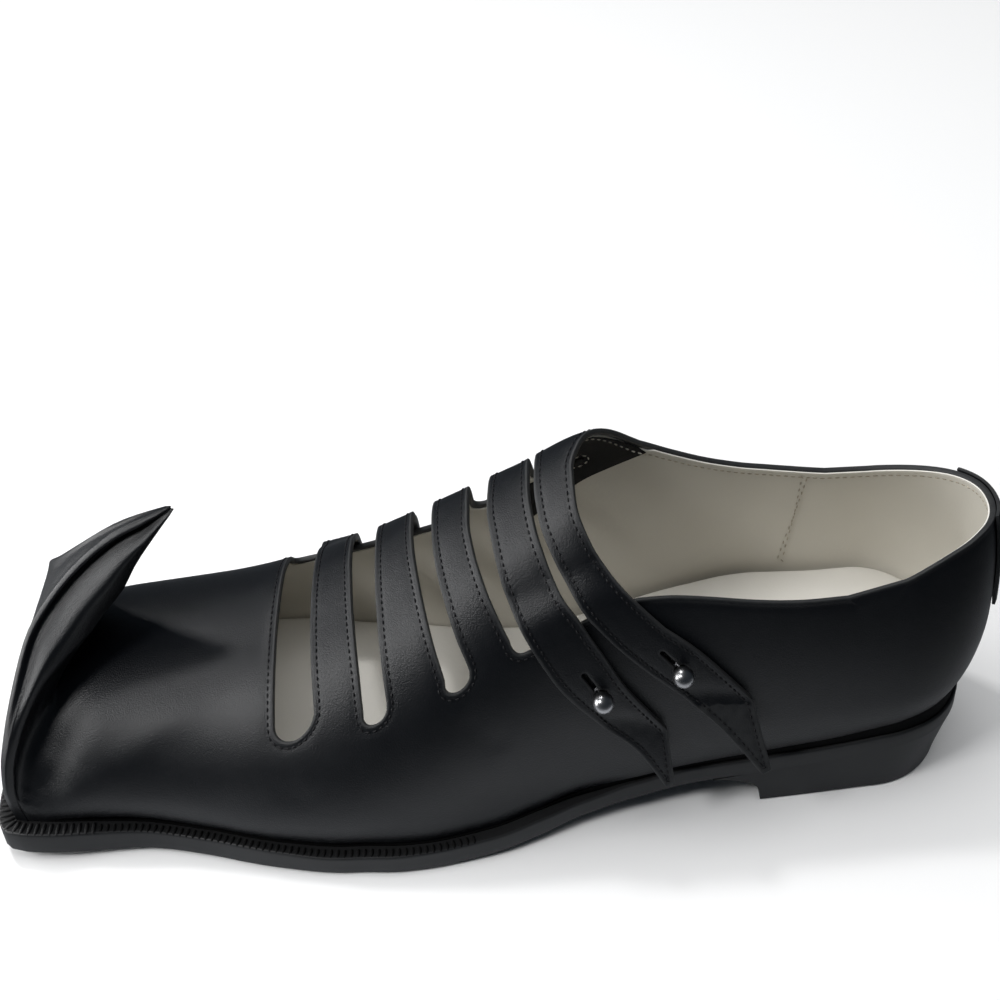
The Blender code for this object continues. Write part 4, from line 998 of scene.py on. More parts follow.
# %% Lip of the point
# Lip by share of the way up: share, l, half-width, height, thickness of the point, extra width at its back
POINT = np.array([
    (0.00, 281.5, 38.6, 11.5, 3.0, 0.0), (0.12, 282.0, 39.6, 21.5, 3.2, 0.0),
    (0.25, 281.3, 37.6, 31.0, 3.5, 0.0), (0.37, 279.4, 33.2, 40.0, 4.5, 0.3),
    (0.50, 276.4, 25.1, 50.3, 7.2, 1.5), (0.62, 272.2, 15.3, 60.8, 12.2, 3.5),
    (0.72, 266.1, 8.7, 68.1, 15.0, 4.2), (0.82, 255.9, 3.8, 77.5, 14.6, 3.8),
    (0.91, 244.2, 1.7, 85.5, 10.2, 2.4), (1.00, 229.0, 0.6, 91.5, 1.8, 0.0)], float)
CLIMB_POWER, RISE_REACH = 1.4, 0.07


def point_edge(v):
    """Lip at v (-1 lateral corner, 0 tip, 1 medial): place, rise, thickness, extra width, share climbed."""
    share = 1 - np.abs(v) ** CLIMB_POWER
    l, half, z = smooth(POINT, share, 1), smooth(POINT, share, 2), smooth(POINT, share, 3)
    near, far = np.maximum(share - RISE_REACH, 0), np.minimum(share + RISE_REACH, 1)
    rise = np.stack([smooth(POINT, far, 1) - smooth(POINT, near, 1), 0 * l,
                     smooth(POINT, far, 3) - smooth(POINT, near, 3)], axis=1)
    rise /= np.linalg.norm(rise, axis=1)[:, None]
    y = POINT_MID * (1 - share) + np.sign(v) * half
    wider = np.sign(v) * smooth(POINT, share, 5)
    return np.stack([l, y, z], axis=1), rise, smooth(POINT, share, 4), wider, share


def bend(start, first, second, end, count):
    """Rows of points along cubic curves, one row per step."""
    rows = []
    for t in np.linspace(0, 1, count):
        ends = (1 - t) ** 3 * start + t ** 3 * end
        rows.append(ends + 3 * t * (1 - t) ** 2 * first + 3 * t * t * (1 - t) * second)
    return rows


def spans(a, b):
    return np.linalg.norm(a - b, axis=1)[:, None]


# %% Back face of the point
BACK_ROWS, RUN_IN, STEEPER, RUN_UP, TIP_TURN = 16, 0.26, 0.4, 0.45, 0.09
order = np.arange(base + len(valley) - 1, base - 1, -1)
lip, rise, thick, wider, climb = point_edge(COLUMNS)
behind = np.stack([-rise[:, 2], 0 * thick, rise[:, 0]], axis=1)
back_lip = lip + thick[:, None] * behind
back_lip[:, 1] += wider
lip[[0, -1], 2] = feather_z(lip[[0, -1], 0])
foot = outer[order]
back_lip[[0, -1]] = foot[[0, -1]]
forward = last(flat[order] + (0.5, 0)) - last(flat[order] - (0.5, 0))
forward /= np.linalg.norm(forward, axis=1)[:, None]
size = spans(foot, back_lip)
low_part = ease(climb, 0.04, 0.2) * (1 - ease(climb, 0.4, 0.72))
run_in = (RUN_IN + STEEPER * low_part)[:, None]
rows = bend(foot, foot + run_in * size * forward, back_lip - RUN_UP * size * rise, back_lip, BACK_ROWS)
grid = [[out_ids[k] for k in order]] + [skin.add(row) for row in rows[1:]]
aside = np.stack([0 * thick, np.sign(COLUMNS), 0 * thick], axis=1)
at_tip = (1 - ease(np.abs(COLUMNS), 0.0, TIP_TURN))[:, None]
aside = aside * (1 - at_tip) + rise * at_tip
aside /= np.linalg.norm(aside, axis=1)[:, None]
print("tip of the point: %.1f mm high" % lip[:, 2].max())

# %% Side band, groove and rolled lip
LIP_ZONE, FOLD_AT = 3.8, 0.45
BAND_BULGE, LOW_BULGE, LIP_BULGE, CORNER_BULGE = 0.32, 0.42, 0.34, 0.25
BAND_STEPS = np.concatenate([np.linspace(1, 0, 11)[1:] + 1, np.linspace(1, 0, 15)[1:-1]])
zone = np.minimum(LIP_ZONE, 0.5 * thick)
body = ease(climb, 0.02, 0.2)
folded = ease(climb, 0.32, 0.6)


def crown(share):
    """Cross section of the band: a soft ridge at FOLD_AT, down to nothing at both edges."""
    side = np.where(share < FOLD_AT, FOLD_AT, 1 - FOLD_AT)
    return 1 - np.abs((share - FOLD_AT) / side) ** 1.35


for along in BAND_STEPS:
    if along > 1:
        into = zone + (thick - zone) * (along - 1)
        bulge = BAND_BULGE * thick * crown(along - 1)
    else:
        into = zone * along
        ridge = LIP_BULGE * zone * np.exp(-((along - 0.28) / 0.26) ** 2)
        depth = (0.1 + 0.3 * ease(climb, 0.6, 0.95)) * zone * (1 - ease(climb, 0.96, 1))
        bulge = ridge - depth * np.exp(-((along - 0.74) / 0.15) ** 2)
    bulge = folded * bulge + (1 - folded) * LOW_BULGE * thick * crown(into / thick)
    off = (bulge * body + CORNER_BULGE * (1 - body))[:, None] * aside
    row = lip + (into / thick)[:, None] * (back_lip - lip) + off
    row[[0, -1], 2] = feather_z(row[[0, -1], 0])
    grid.append(skin.add(row))
print("side band and lip:", len(BAND_STEPS), "rows of", len(COLUMNS), "points")

# %% Front panel
PANEL_ROWS, PANEL_PASSES, PANEL_TOP, PANEL_FOOT = 18, 7, 0.36, 0.46
toe_foot = toe_base(COLUMNS)
toe_foot[[0, -1]] = lip[[0, -1]]
size = spans(lip, toe_foot)
down = np.array([0.0, 0.0, 1.0])
panel = bend(lip, lip - PANEL_TOP * size * rise, toe_foot + PANEL_FOOT * size * down, toe_foot, PANEL_ROWS)
for step, row in enumerate(panel):
    for _ in range(PANEL_PASSES * min(step, len(panel) - 1 - step)):
        row[1:-1] = (row[:-2] + 2 * row[1:-1] + row[2:]) / 4
grid += [skin.add(row) for row in panel]
skin.sheet(grid)
print("front panel: %.0f mm from lip to welt in the middle" % size[len(COLUMNS) // 2, 0])

# %% Wall inside the toe and the rim that stands on the sole
WALL_ROWS, WALL_IN, WALL_ASIDE, WALL_TOP, WALL_FOOT = 6, 3.2, 2.2, 0.3, 0.4
inner_valley = inner[order]
inner_foot = toe_foot - np.stack([np.full(len(COLUMNS), WALL_IN), WALL_ASIDE * COLUMNS, 0 * COLUMNS], axis=1)
inner_foot[:, 2] = feather_z(inner_foot[:, 0])
inner_foot[[0, -1]] = inner_valley[[0, -1]]
size = spans(inner_valley, inner_foot)
leave, arrive = inner_valley + WALL_TOP * size * forward, inner_foot + WALL_FOOT * size * down
rows = bend(inner_valley, leave, arrive, inner_foot, WALL_ROWS)
wall = [[in_ids[k] for k in order]] + [skin.add(row) for row in rows[1:]]
skin.sheet(wall)
sides = [order[0]] + list(range(base)) + [order[-1]]
skin.strip([out_ids[k] for k in sides], [in_ids[k] for k in sides])
skin.strip(grid[-1], wall[-1])
for end in (0, -1):
    corner = in_ids[order[end]]
    chain = [row[end] for row in grid[BACK_ROWS - 1:]]
    for a, b in zip(chain[:-1], chain[1:]):
        skin.face(a, b, corner)
print("wall of the toe:", len(wall), "rows")

# %% [markdown]
# ## Free strap ends
#
# Straps D and E come over to the lateral side and button onto steel studs; A and B do the same on the
# medial side. Their ends lie on the vamp, rise over the edge below them, fold at the stud and flare out
# to a point. They lie over the sheet, so they can't be cut from the same net: each end is a net of its own
# that carries on from the main sheet at a cut line, where the two share their points.

# %% Outlines of the strap ends
D_END = (((129.6, -56.0), (125.1, -66.2), (120.1, -75.3), (113.4, -85.3)),
         ((113.4, -85.3), (104.6, -93.8), (96.4, -106.6)), ((96.4, -106.6), (94.2, -105.9)),
         ((94.2, -105.9), (95.9, -89.4)),
         ((95.9, -89.4), (100.9, -82.6), (107.7, -72.6), (114.0, -60.6), (116.4, -56.0)))
E_END = (((112.2, -56.0), (108.8, -60.2), (100.9, -68.6), (89.6, -79.1)),
         ((89.6, -79.1), (80.9, -86.0), (70.0, -97.2)), ((70.0, -97.2), (67.8, -96.0)),
         ((67.8, -96.0), (72.5, -78.4)),
         ((72.5, -78.4), (79.1, -71.4), (87.4, -63.2), (96.4, -56.0)))
A_END = (((193.4, 46.0), (193.0, 51.0)), ((193.0, 51.0), (187.0, 58.5), (183.6, 64.0)),
         ((183.6, 64.0), (182.2, 63.6)), ((182.2, 63.6), (182.6, 52.0)), ((182.6, 52.0), (183.0, 46.0)))
B_END = (((174.4, 46.0), (174.0, 51.0)), ((174.0, 51.0), (168.0, 58.5), (164.8, 64.0)),
         ((164.8, 64.0), (163.4, 63.6)), ((163.4, 63.6), (163.9, 52.0)), ((163.9, 52.0), (164.4, 46.0)))

# Studs: p, q and the run of the slit beside it
STUDS = {"stud_d": (114.1, -74.2, (4.9, 9.4)), "stud_e": (92.1, -68.7, (5.8, 6.7)),
         "stud_a": (188.0, 46.5, (0.0, -8.0)), "stud_b": (169.2, 46.5, (0.0, -8.0))}

# Folds beside the studs: both ends of the fold and the slope of the tip beyond it
KINKS = {"stud_d": ((113.4, -85.3), (95.9, -89.4), 0.30), "stud_e": ((89.6, -79.1), (72.5, -78.4), 0.48),
         "stud_a": ((193.0, 51.0), (182.6, 52.0), 0.14), "stud_b": ((174.0, 51.0), (163.9, 52.0), 0.14)}
print("free ends:", ", ".join(STUDS))

# %% Lift of the free ends
LIFT, LATERAL_OVER, MEDIAL_OVER, FOLD_ROUND = 2.6, 47.0, MEDIAL_EDGE - 1.5, 0.5


def free_lift(at, stud):
    """A free end's height off the last, how far it has left the strap (0 to 1), and the way past its fold."""
    on_lateral = at[:, 1] < 0
    begin = np.where(on_lateral, -LATERAL_CUT, MEDIAL_CUT)
    over = np.where(on_lateral, LATERAL_OVER, MEDIAL_OVER)
    ramp = ease((np.abs(at[:, 1]) - begin) / (over - begin), 0, 1)
    kink, corner, slope = KINKS[stud]
    along = np.subtract(corner, kink)
    across = np.array([-along[1], along[0]]) / np.hypot(*along)
    past = (at - kink) @ across * np.where(on_lateral, 1, -1)
    beyond = (past + np.sqrt(past ** 2 + FOLD_ROUND ** 2)) / 2
    return (LIFT + slope * beyond) * ramp, ramp, past


# %% Keyholes
HOLE_RADIUS, SLIT_WIDTH = 2.3, 1.9


def keyhole(p, q, slit):
    """Round hole for the stud's neck with a slit running from it."""
    length = np.hypot(*slit)
    ahead = np.array(slit) / length
    side = np.array([-ahead[1], ahead[0]]) * SLIT_WIDTH / 2
    centre = np.array([p, q])
    half = np.arcsin(SLIT_WIDTH / 2 / HOLE_RADIUS)
    turn = np.arctan2(ahead[1], ahead[0]) + np.linspace(half, 2 * np.pi - half, 21)
    loop = [centre + HOLE_RADIUS * np.array([np.cos(a), np.sin(a)]) for a in turn]
    reach = np.linspace(np.sqrt(HOLE_RADIUS ** 2 - SLIT_WIDTH ** 2 / 4), length - SLIT_WIDTH / 2, 7)[1:]
    end = centre + ahead * reach[-1]
    loop += [centre + ahead * r - side for r in reach]
    loop += [end - side * np.cos(a) + ahead * SLIT_WIDTH / 2 * np.sin(a) for a in np.radians((45, 90, 135))]
    loop += [centre + ahead * r + side for r in reach[::-1]]
    return [tuple(v) for v in loop]


def end_outline(front, rear, cut, sections):
    loop = cut_line(front, rear, cut)[::-1] + strap_edge(front, cut, sections[0][0][1])[1:-1]
    for section in sections:
        loop += curve(section)[:-1]
    return loop + strap_edge(rear, sections[-1][-1][1], cut)[:-1]


# %% Strap ends
END_STEP, CRUMPLE, CREASE_DIP, PAINTED_FACET_EDGE, DOUBLED = 2.0, 0.3, 0.45, 0.12, 0.5
strap_ends = {}
for stud, front, rear, cut, sections in (
        ("stud_d", D_FRONT, D_REAR, LATERAL_CUT, D_END), ("stud_e", E_FRONT, E_REAR, LATERAL_CUT, E_END),
        ("stud_a", A_FRONT, A_REAR, MEDIAL_CUT, A_END), ("stud_b", B_FRONT, B_REAR, MEDIAL_CUT, B_END)):
    rim = Loop(end_outline(front, rear, cut, sections), hole=False)
    hole = Loop(keyhole(*STUDS[stud]), hole=True)
    at, faces = net(rim, [hole], END_STEP, ROWS, along_outline=True)
    from_rim = edge_distance([(rim, 0)], at)
    edge = np.minimum(from_rim, hole.distance(at))
    lift, ramp, past = free_lift(at, stud)
    normal = normals(at, tucked=False)
    crumple = CRUMPLE * np.sin(1.9 * at[:, 0] + 0.7 * at[:, 1]) * np.exp(-((past - 1.5) / 2.4) ** 2)
    crumple -= CREASE_DIP * np.exp(-((past + 2.6) / 2.2) ** 2)
    raised = lift + stitch_relief(from_rim) + crumple * ease(edge, 0.5, 2.5) * ramp
    thick = SKIN + DOUBLED * ramp
    top = last(at, tucked=False) + raised[:, None] * normal
    bottom = last(at, tucked=False) + (lift - thick)[:, None] * normal
    # Past its fold strap E's tip takes the lighter edge colour all over, mottled by noise: a painted
    # highlight for the facet turned up to the light.
    painted_facet_edge = np.where((stud == "stud_e") & (past > 0.6), np.minimum(edge, PAINTED_FACET_EDGE), edge)
    over, under = skin.add(top, painted_facet_edge), skin.add(bottom, edge)
    skin.layers(faces, over, under)
    start = 0
    for loop in (rim, hole):
        here = slice(start, start + len(loop.points))
        up = raised[here, None] * normal[here]
        roll_edge(skin, loop, over[here], under[here],
                  lambda spot, up=up: last(spot, tucked=False) + up, normal[here], thick[here])
        start += len(loop.points)
    strap_ends[stud] = rim
skin.make("upper_skin", "upper_leather", black_calf, ("upper",))

# %% [markdown]
# ## Lining
#
# Inside, the shoe is lined with pale undyed leather, cut a little short of the slots so that only black
# shows at their edges, but reaching the collar, where its edge is a thin white line. The skin's inner face
# could be coloured pale instead, but a thin closed shell has real edges from every side.

# %% Lining shell
LINING_TOP, LINING_UNDER, LINING_STEP = -1.62, -2.0, 4.0
TRIM, COLLAR_TRIM, COLLAR_FRONT = 1.0, 0.1, 96.0
trimmed = []
for opening in openings:
    back = np.where(opening.points[:, 0] < COLLAR_FRONT, COLLAR_TRIM, TRIM)
    moved = opening.points - back[:, None] * opening.out
    clear = opening.distance(moved) > 0.9 * back
    trimmed.append(Loop(moved[clear], hole=True))
flat, faces = net(outline, trimmed, LINING_STEP)
lining_normal = normals(flat)
lining_at = last(flat) + toe_trough(flat)[:, None] * lining_normal
lining = Piece()
edge = trimmed[1].distance(flat)
top = lining.add(lining_at + LINING_TOP * lining_normal, edge)
under_at = lining_at + LINING_UNDER * lining_normal
standing = slice(0, len(outline.points))
under_at[standing, 2] = np.maximum(under_at[standing, 2], feather_z(under_at[standing, 0]))
under = lining.add(under_at, edge)
lining.layers(faces, top, under)
start = 0
for loop in [outline] + trimmed:
    count = len(loop.points)
    for k in range(count):
        a, b = start + k, start + (k + 1) % count
        lining.face(top[a], top[b], under[b], under[a])
    start += count
lining.make("lining", "insole_leather", lining_hide)

# %% [markdown]
# ## Facing and seam inside
#
# Behind the root of strap E a black facing takes the pull of the buttoned straps, with the back of a stud
# on it. It could be painted on the lining by a mask, but it is a piece of its own on the real shoe. So
# the facing, the stud's back and the seam between the two lining panels are thin closed patches cut on
# the same pattern.

# %% Patches
PATCH_SOFT = 0.2


def straight(corners):
    """A closed outline of straight sides with close points."""
    loop = []
    for a, b in zip(corners, list(corners[1:]) + [corners[0]]):
        loop += curve([a, b])[:-1]
    return loop


def patch(name, slot, finish, corners, top, under, step=2.6, wear_and_paint=True):
    """A thin closed patch on the pattern between two distances from the last."""
    rim = Loop(straight(corners), hole=False)
    at, faces = net(rim, [], step)
    where, out, near = last(at), normals(at), rim.distance(at)
    wear_and_paint_edge = near if wear_and_paint else FAR
    made = Piece()
    above = made.add(where + top * out, wear_and_paint_edge)
    below = made.add(where + (under + PATCH_SOFT * (1 - ease(near, 0, 0.6)))[:, None] * out, wear_and_paint_edge)
    made.layers(faces, above, below)
    made.ring(above[:len(rim.points)], below[:len(rim.points)])
    return made.make(name, slot, finish)


# %% Facing, seam strip and stud back
FACING = ((97.3, 26.6), (99.6, 23.2), (104.0, 18.5), (109.6, 12.5), (114.8, 6.5), (117.6, 2.0), (127.2, 2.0),
          (126.2, 12.0), (123.6, 19.5), (124.6, 25.8), (131.5, 25.8), (132.0, 20.0), (136.0, 20.0),
          (139.0, 31.0), (141.0, 40.0), (136.0, 47.0), (116.6, 36.6), (107.2, 31.7))
SEAM = ((49.9, 45.0), (50.8, 61.3), (52.5, 74.8), (53.6, 83.6))
SEAM_BEHIND, SEAM_AHEAD = 0.9, 0.5
STUD_BACK, STUD_BACK_RADIUS = np.array((116.5, 24.8)), 1.7

# Distances of each patch's two faces from the last
FACING_FACES, SEAM_FACES, STUD_BACK_FACES = (-1.95, -2.45), (-1.9, -2.3), (-2.3, -2.9)
# The facing and the stud's back take the darker calf, which paints the shade inside the shoe.
patch("strap_facing", "upper_leather", facing_calf_painted_shade, FACING, *FACING_FACES)
seam_run = np.array(curve(SEAM))
strip = [(p - SEAM_BEHIND, q) for p, q in seam_run] + [(p + SEAM_AHEAD, q) for p, q in seam_run[::-1]]
patch("lining_seam", "insole_leather", lining_hide, strip, *SEAM_FACES, step=1.2, wear_and_paint=False)
around = np.radians(np.arange(0, 360, 30))
disc = [tuple(STUD_BACK + STUD_BACK_RADIUS * np.array((np.cos(a), np.sin(a)))) for a in around]
patch("stud_back", "upper_leather", facing_calf_painted_shade, disc, *STUD_BACK_FACES, step=0.9)

# %% [markdown]
# ## Sole, welt and heel
#
# The sole's edge is trimmed and stained as one smooth band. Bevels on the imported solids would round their
# edges, but leave a gap between the layers, so the band is lofted anew from rings of the foot's outline.
# In front it ends in a ledge round the upper; at the heel the ledge narrows and a dark wedge stands above
# it. The heel block is lofted the same way, with a breast that sweeps forward under the arch.

# %% Heights and steps of the sole's edge
LEDGE_PROUD = 0.15


def sole_top(l):
    """Top of the trimmed edge: the ledge in front, the outsole's own top under the heel."""
    forepart = ease(l, 108, 135)
    return forepart * (midsole_top(l) + LEDGE_PROUD) + (1 - forepart) * outsole_top(l)


def seat_grow(l):
    """How far the wedge above the trimmed edge stands out from the feather line."""
    return -0.45 + 0.55 * (1 - ease(l, 60, 100))


def bottom_round(l):
    """How far the lower edge is rounded: not at all over the heel block."""
    return ease(l, 70, 84)


print("sole's edge: %.1f mm thick at the ball" % (sole_top(185) - sole_under(185)))

# %% Sole
# Rings of the edge from below: how far each stands out, its height, and the edge distance the finish reads;
# the top three rings take 0.6, 0 and 0, which paints shade on the ledge where it meets the upper
SOLE_ROWS = (
    (lambda l: ledge(l) - 1.0 * bottom_round(l), lambda l: sole_under(l), FAR),
    (lambda l: ledge(l) - 0.35 * bottom_round(l), lambda l: sole_under(l) + 0.2, FAR),
    (lambda l: ledge(l) - 0.02 * bottom_round(l), lambda l: sole_under(l) + 0.9, FAR),
    (lambda l: ledge(l), lambda l: 0.6 * sole_under(l) + 0.4 * sole_top(l), FAR),
    (lambda l: ledge(l), lambda l: sole_top(l) - 0.9, FAR),
    (lambda l: ledge(l) - 0.15, lambda l: sole_top(l) - 0.3, FAR),
    (lambda l: ledge(l) - 0.5, lambda l: sole_top(l), 0.6),
    (lambda l: ledge(l) - 0.7, lambda l: sole_top(l), 0.0),
    (lambda l: np.minimum(seat_grow(l) + 0.25, ledge(l) - 0.8), lambda l: sole_top(l) - 0.25, 0.0))
sole = Piece()
rings = []
for grow, height, edge in SOLE_ROWS:
    loop = foot_loop(grow)
    rings.append(sole.add(np.column_stack([loop, height(loop[:, 0])]), edge))
sole.capped(rings)
sole.make("trimmed_sole", "sole_leather", sole_stain, ("outsole",))

# %% Dark wedge between the sole's edge and the upper
# Its colour, darker than the calf, also paints the shade of this recess.
wedge = Piece()
rings = []
for extra, share in ((0.0, 0.0), (0.05, 0.3), (0.05, 0.7), (0.0, 1.0)):
    loop = foot_loop(lambda l: np.minimum(seat_grow(l), ledge(l) - 1.0) + extra)
    l = loop[:, 0]
    height = sole_top(l) - 0.2 + share * (feather_z(l) + 0.15 - sole_top(l))
    rings.append(wedge.add(np.column_stack([loop, height])))
wedge.capped(rings)
wedge.make("heel_wedge", "sole_leather", wedge_black_and_shade, ("midsole",))

# %% Heel block
HEEL_BREAST, HEEL_INSET, HEEL_FLARE, HEEL_UNDERCUT = 67.0, 1.2, 1.4, 4.5
BREAST_SWEEP, BREAST_POWER, UNDERCUT_POWER, LEAN_POWER, HEEL_CHAMFER = 14.0, 3.6, 1.4, 1.25, 0.016
heel = Piece()
seat = foot_loop(lambda l: ledge(l) - 0.01)
half = len(seat) // 2
reached = [k for k in range(half) if seat[k, 0] <= HEEL_BREAST - 1]
sides = np.concatenate([seat[reached], seat[[-k for k in reached[:0:-1]]]])
rings = []
for share in (0.0, 0.03, 0.08, 0.2, 0.35, 0.5, 0.65, 0.8, 0.9, 0.96, 1.0):
    breast = HEEL_BREAST + BREAST_SWEEP * share ** BREAST_POWER
    across = [np.interp(breast, seat[1:half, 0], seat[1:half, 1]),
              np.interp(breast, seat[:half:-1, 0], seat[:half:-1, 1])]
    front = [(breast, y) for y in np.linspace(across[0], across[1], 12)]
    top = np.insert(sides, len(reached), front, axis=0)
    back = np.clip(1 - top[:, 0] / HEEL_BREAST, 0, 1)
    narrower = HEEL_INSET * back - HEEL_FLARE * (1 - back)
    low = np.column_stack([top[:, 0] + HEEL_UNDERCUT * back ** UNDERCUT_POWER,
                           top[:, 1] * (1 - narrower / np.abs(top[:, 1]).max())])
    plan = low + (top - low) * share ** LEAN_POWER
    middle = plan.mean(axis=0)
    plan = middle + (plan - middle) * (1 - HEEL_CHAMFER * (share == 0.0))
    rings.append(heel.add(np.column_stack([plan, share * (sole_under(top[:, 0]) + 0.04)])))
heel.capped(rings)
heel.make("heel_block", "heel_stack", sole_stain, ("heel",))

# %% [markdown]
# ## Footbed
#
# Inside lies a pale insole, padded under the heel. A flat sheet with thickness would do for a sandal;
# here the table of insole heights lifts the same outline, and three narrow rings round off its upper edge.

# %% Insole
# Gap between the footbed and the feather line, along the foot and at the toe
FOOTBED_GAP = ((262, 276), (2.15, 3.6))
insole = Piece()
rings = []
for inset, share in ((0.0, 0.0), (0.0, 0.7), (-0.25, 0.88), (-0.9, 0.97), (-1.8, 1.0)):
    loop = foot_loop(lambda l: inset - np.interp(l, *FOOTBED_GAP))
    l = loop[:, 0]
    rings.append(insole.add(np.column_stack([loop, feather_z(l) + share * smooth(SOLE, l, 4)]), 4 * share))
insole.capped(rings)
insole.make("footbed", "insole_leather", insole_hide, ("insole",))

# %% [markdown]
# ## Back tab
#
# A tab of the same calf covers the back seam up to the collar. A plane shrinkwrapped to the heel would slide
# there, so its rows are laid out in angle and girth on the last, once near the skin and once outside it.

# %% Back tab
TAB_MIDDLE, TAB_HALF, TAB_RADIUS = 0.12, 0.46, 30.0
TAB_LENGTH, TAB_ABOVE, TAB_THICK, TAB_SOFT = 31.0, 0.7, 1.2, 0.35
tab = Piece()
angles = TAB_MIDDLE + np.linspace(-TAB_HALF, TAB_HALF, 33)
heights = smooth(COLLAR_HEEL, np.degrees(angles), 1)
tops = np.array([heel_reach(a, z) for a, z in zip(angles, heights)])
near, far = [], []
downs = np.concatenate([np.linspace(TAB_LENGTH, 0, 24), [-TAB_ABOVE]])
for down in downs:
    at = np.array([heel_point(a, r + down) for a, r in zip(angles, tops)])
    side = np.minimum(np.abs(angles - angles[0]), np.abs(angles - angles[-1])) * TAB_RADIUS
    edge = np.minimum(side, min(TAB_LENGTH - down, down + TAB_ABOVE))
    out = normals(at)
    soft = TAB_SOFT * (1 - ease(edge, 0, 0.8))
    near.append(tab.add(last(at) + GAP * out, edge))
    far.append(tab.add(last(at) + (GAP + TAB_THICK - soft)[:, None] * out, edge))
tab.sheet(near)
tab.sheet(far)
for end in (0, -1):
    tab.strip(near[end], far[end])
    tab.strip([row[end] for row in near], [row[end] for row in far])
tab.make("back_tab_leather", "upper_leather", black_calf, ("back_tab",))

# %% [markdown]
# ## Studs
#
# Each stud is a turned steel ball on a neck with a small foot plate. A Screw modifier could turn the profile;
# here it is swept in code round the direction off the leather, which differs for each stud. A ball of 6 mm
# needs enough sides to show a clean round highlight.

# %% Studs
STUD_NECK, STUD_HEAD, STUD_PLATE = 1.3, 3.0, 0.6
for name, (p, q, _) in STUDS.items():
    at = np.array([(p, q)])
    foot, up = last(at, tucked=False)[0], normals(at, tucked=False)[0]
    top = float(free_lift(at, name)[0][0]) + 0.4
    centre = top + 0.8 * STUD_HEAD
    plate = STUD_NECK + STUD_PLATE
    profile = [(plate, GAP), (plate, GAP + 0.3), (STUD_NECK, GAP + 0.5), (STUD_NECK, top)]
    sweep = np.radians(np.arange(30, 176, 9))
    profile += [(STUD_HEAD * np.sin(a), centre - STUD_HEAD * np.cos(a)) for a in sweep]
    side = np.cross(up, (1.0, 0.0, 0.0))
    side /= np.linalg.norm(side)
    turn = np.radians(np.arange(0, 360, 10))
    around = np.outer(np.cos(turn), side) + np.outer(np.sin(turn), np.cross(up, side))
    stud = Piece()
    rings = [stud.add(foot + height * up + radius * around) for radius, height in profile]
    stud.bands(rings)
    ends = stud.add([foot + GAP * up, foot + (centre + STUD_HEAD) * up])
    for k in range(len(turn)):
        stud.face(rings[0][k], rings[0][k - 1], ends[0])
        stud.face(rings[-1][k], rings[-1][k - 1], ends[1])
    stud.make(name + "_ball", "stud_steel", stud_steel, (name,))

# %% [markdown]
# ## Stitches and welt ribs
#
# Hundreds of stitches follow the cut edges. Geometry Nodes lay them: the path becomes a curve, points are
# set along it at the stitch length, and a small bead is turned along the path at each point. The ribs on
# the welt's ledge come from the same tree with a wider bead that lies across the path.

# %% Bead tree
def bead_tree():
    tree = bpy.data.node_groups.new("beads_along_path", "GeometryNodeTree")
    tree.interface.new_socket("Geometry", in_out="INPUT", socket_type="NodeSocketGeometry")
    for title in ("Pitch", "Along", "Across", "Height"):
        tree.interface.new_socket(title, in_out="INPUT", socket_type="NodeSocketFloat")
    tree.interface.new_socket("Material", in_out="INPUT", socket_type="NodeSocketMaterial")
    tree.interface.new_socket("Geometry", in_out="OUTPUT", socket_type="NodeSocketGeometry")
    given = tree.nodes.new("NodeGroupInput").outputs
    path = add_node(tree, "GeometryNodeMeshToCurve", None, {"Mesh": given["Geometry"]})
    spaced = add_node(tree, "GeometryNodeResampleCurve", {"mode": "LENGTH"},
                      {"Curve": path.outputs["Curve"], "Length": given["Pitch"]})
    bead = add_node(tree, "GeometryNodeMeshUVSphere", None, None, {"Segments": 8, "Rings": 5, "Radius": 0.5})
    scale = add_node(tree, "ShaderNodeCombineXYZ", None,
                     {"X": given["Along"], "Y": given["Across"], "Z": given["Height"]})
    shaped = add_node(tree, "GeometryNodeTransform", None,
                      {"Geometry": bead.outputs["Mesh"], "Scale": scale.outputs["Vector"]})
    soft = add_node(tree, "GeometryNodeSetShadeSmooth", None, {"Geometry": shaped.outputs["Geometry"]})
    tangent = tree.nodes.new("GeometryNodeInputTangent")
    level = add_node(tree, "FunctionNodeAlignRotationToVector", {"axis": "X", "pivot_axis": "Z"},
                     {"Vector": tangent.outputs["Tangent"]})
    tilted = add_node(tree, "FunctionNodeAlignRotationToVector", {"axis": "X", "pivot_axis": "Y"},
                      {"Rotation": level.outputs["Rotation"], "Vector": tangent.outputs["Tangent"]})
    laid = add_node(tree, "GeometryNodeInstanceOnPoints", None,
                    {"Points": spaced.outputs["Curve"], "Instance": soft.outputs["Geometry"],
                     "Rotation": tilted.outputs["Rotation"]})
    real = add_node(tree, "GeometryNodeRealizeInstances", None, {"Geometry": laid.outputs["Instances"]})
    dyed = add_node(tree, "GeometryNodeSetMaterial", None,
                    {"Geometry": real.outputs["Geometry"], "Material": given["Material"]})
    tree.links.new(dyed.outputs["Geometry"], tree.nodes.new("NodeGroupOutput").inputs["Geometry"])
    return tree


BEADS = bead_tree()
print("bead tree:", len(BEADS.nodes), "nodes")


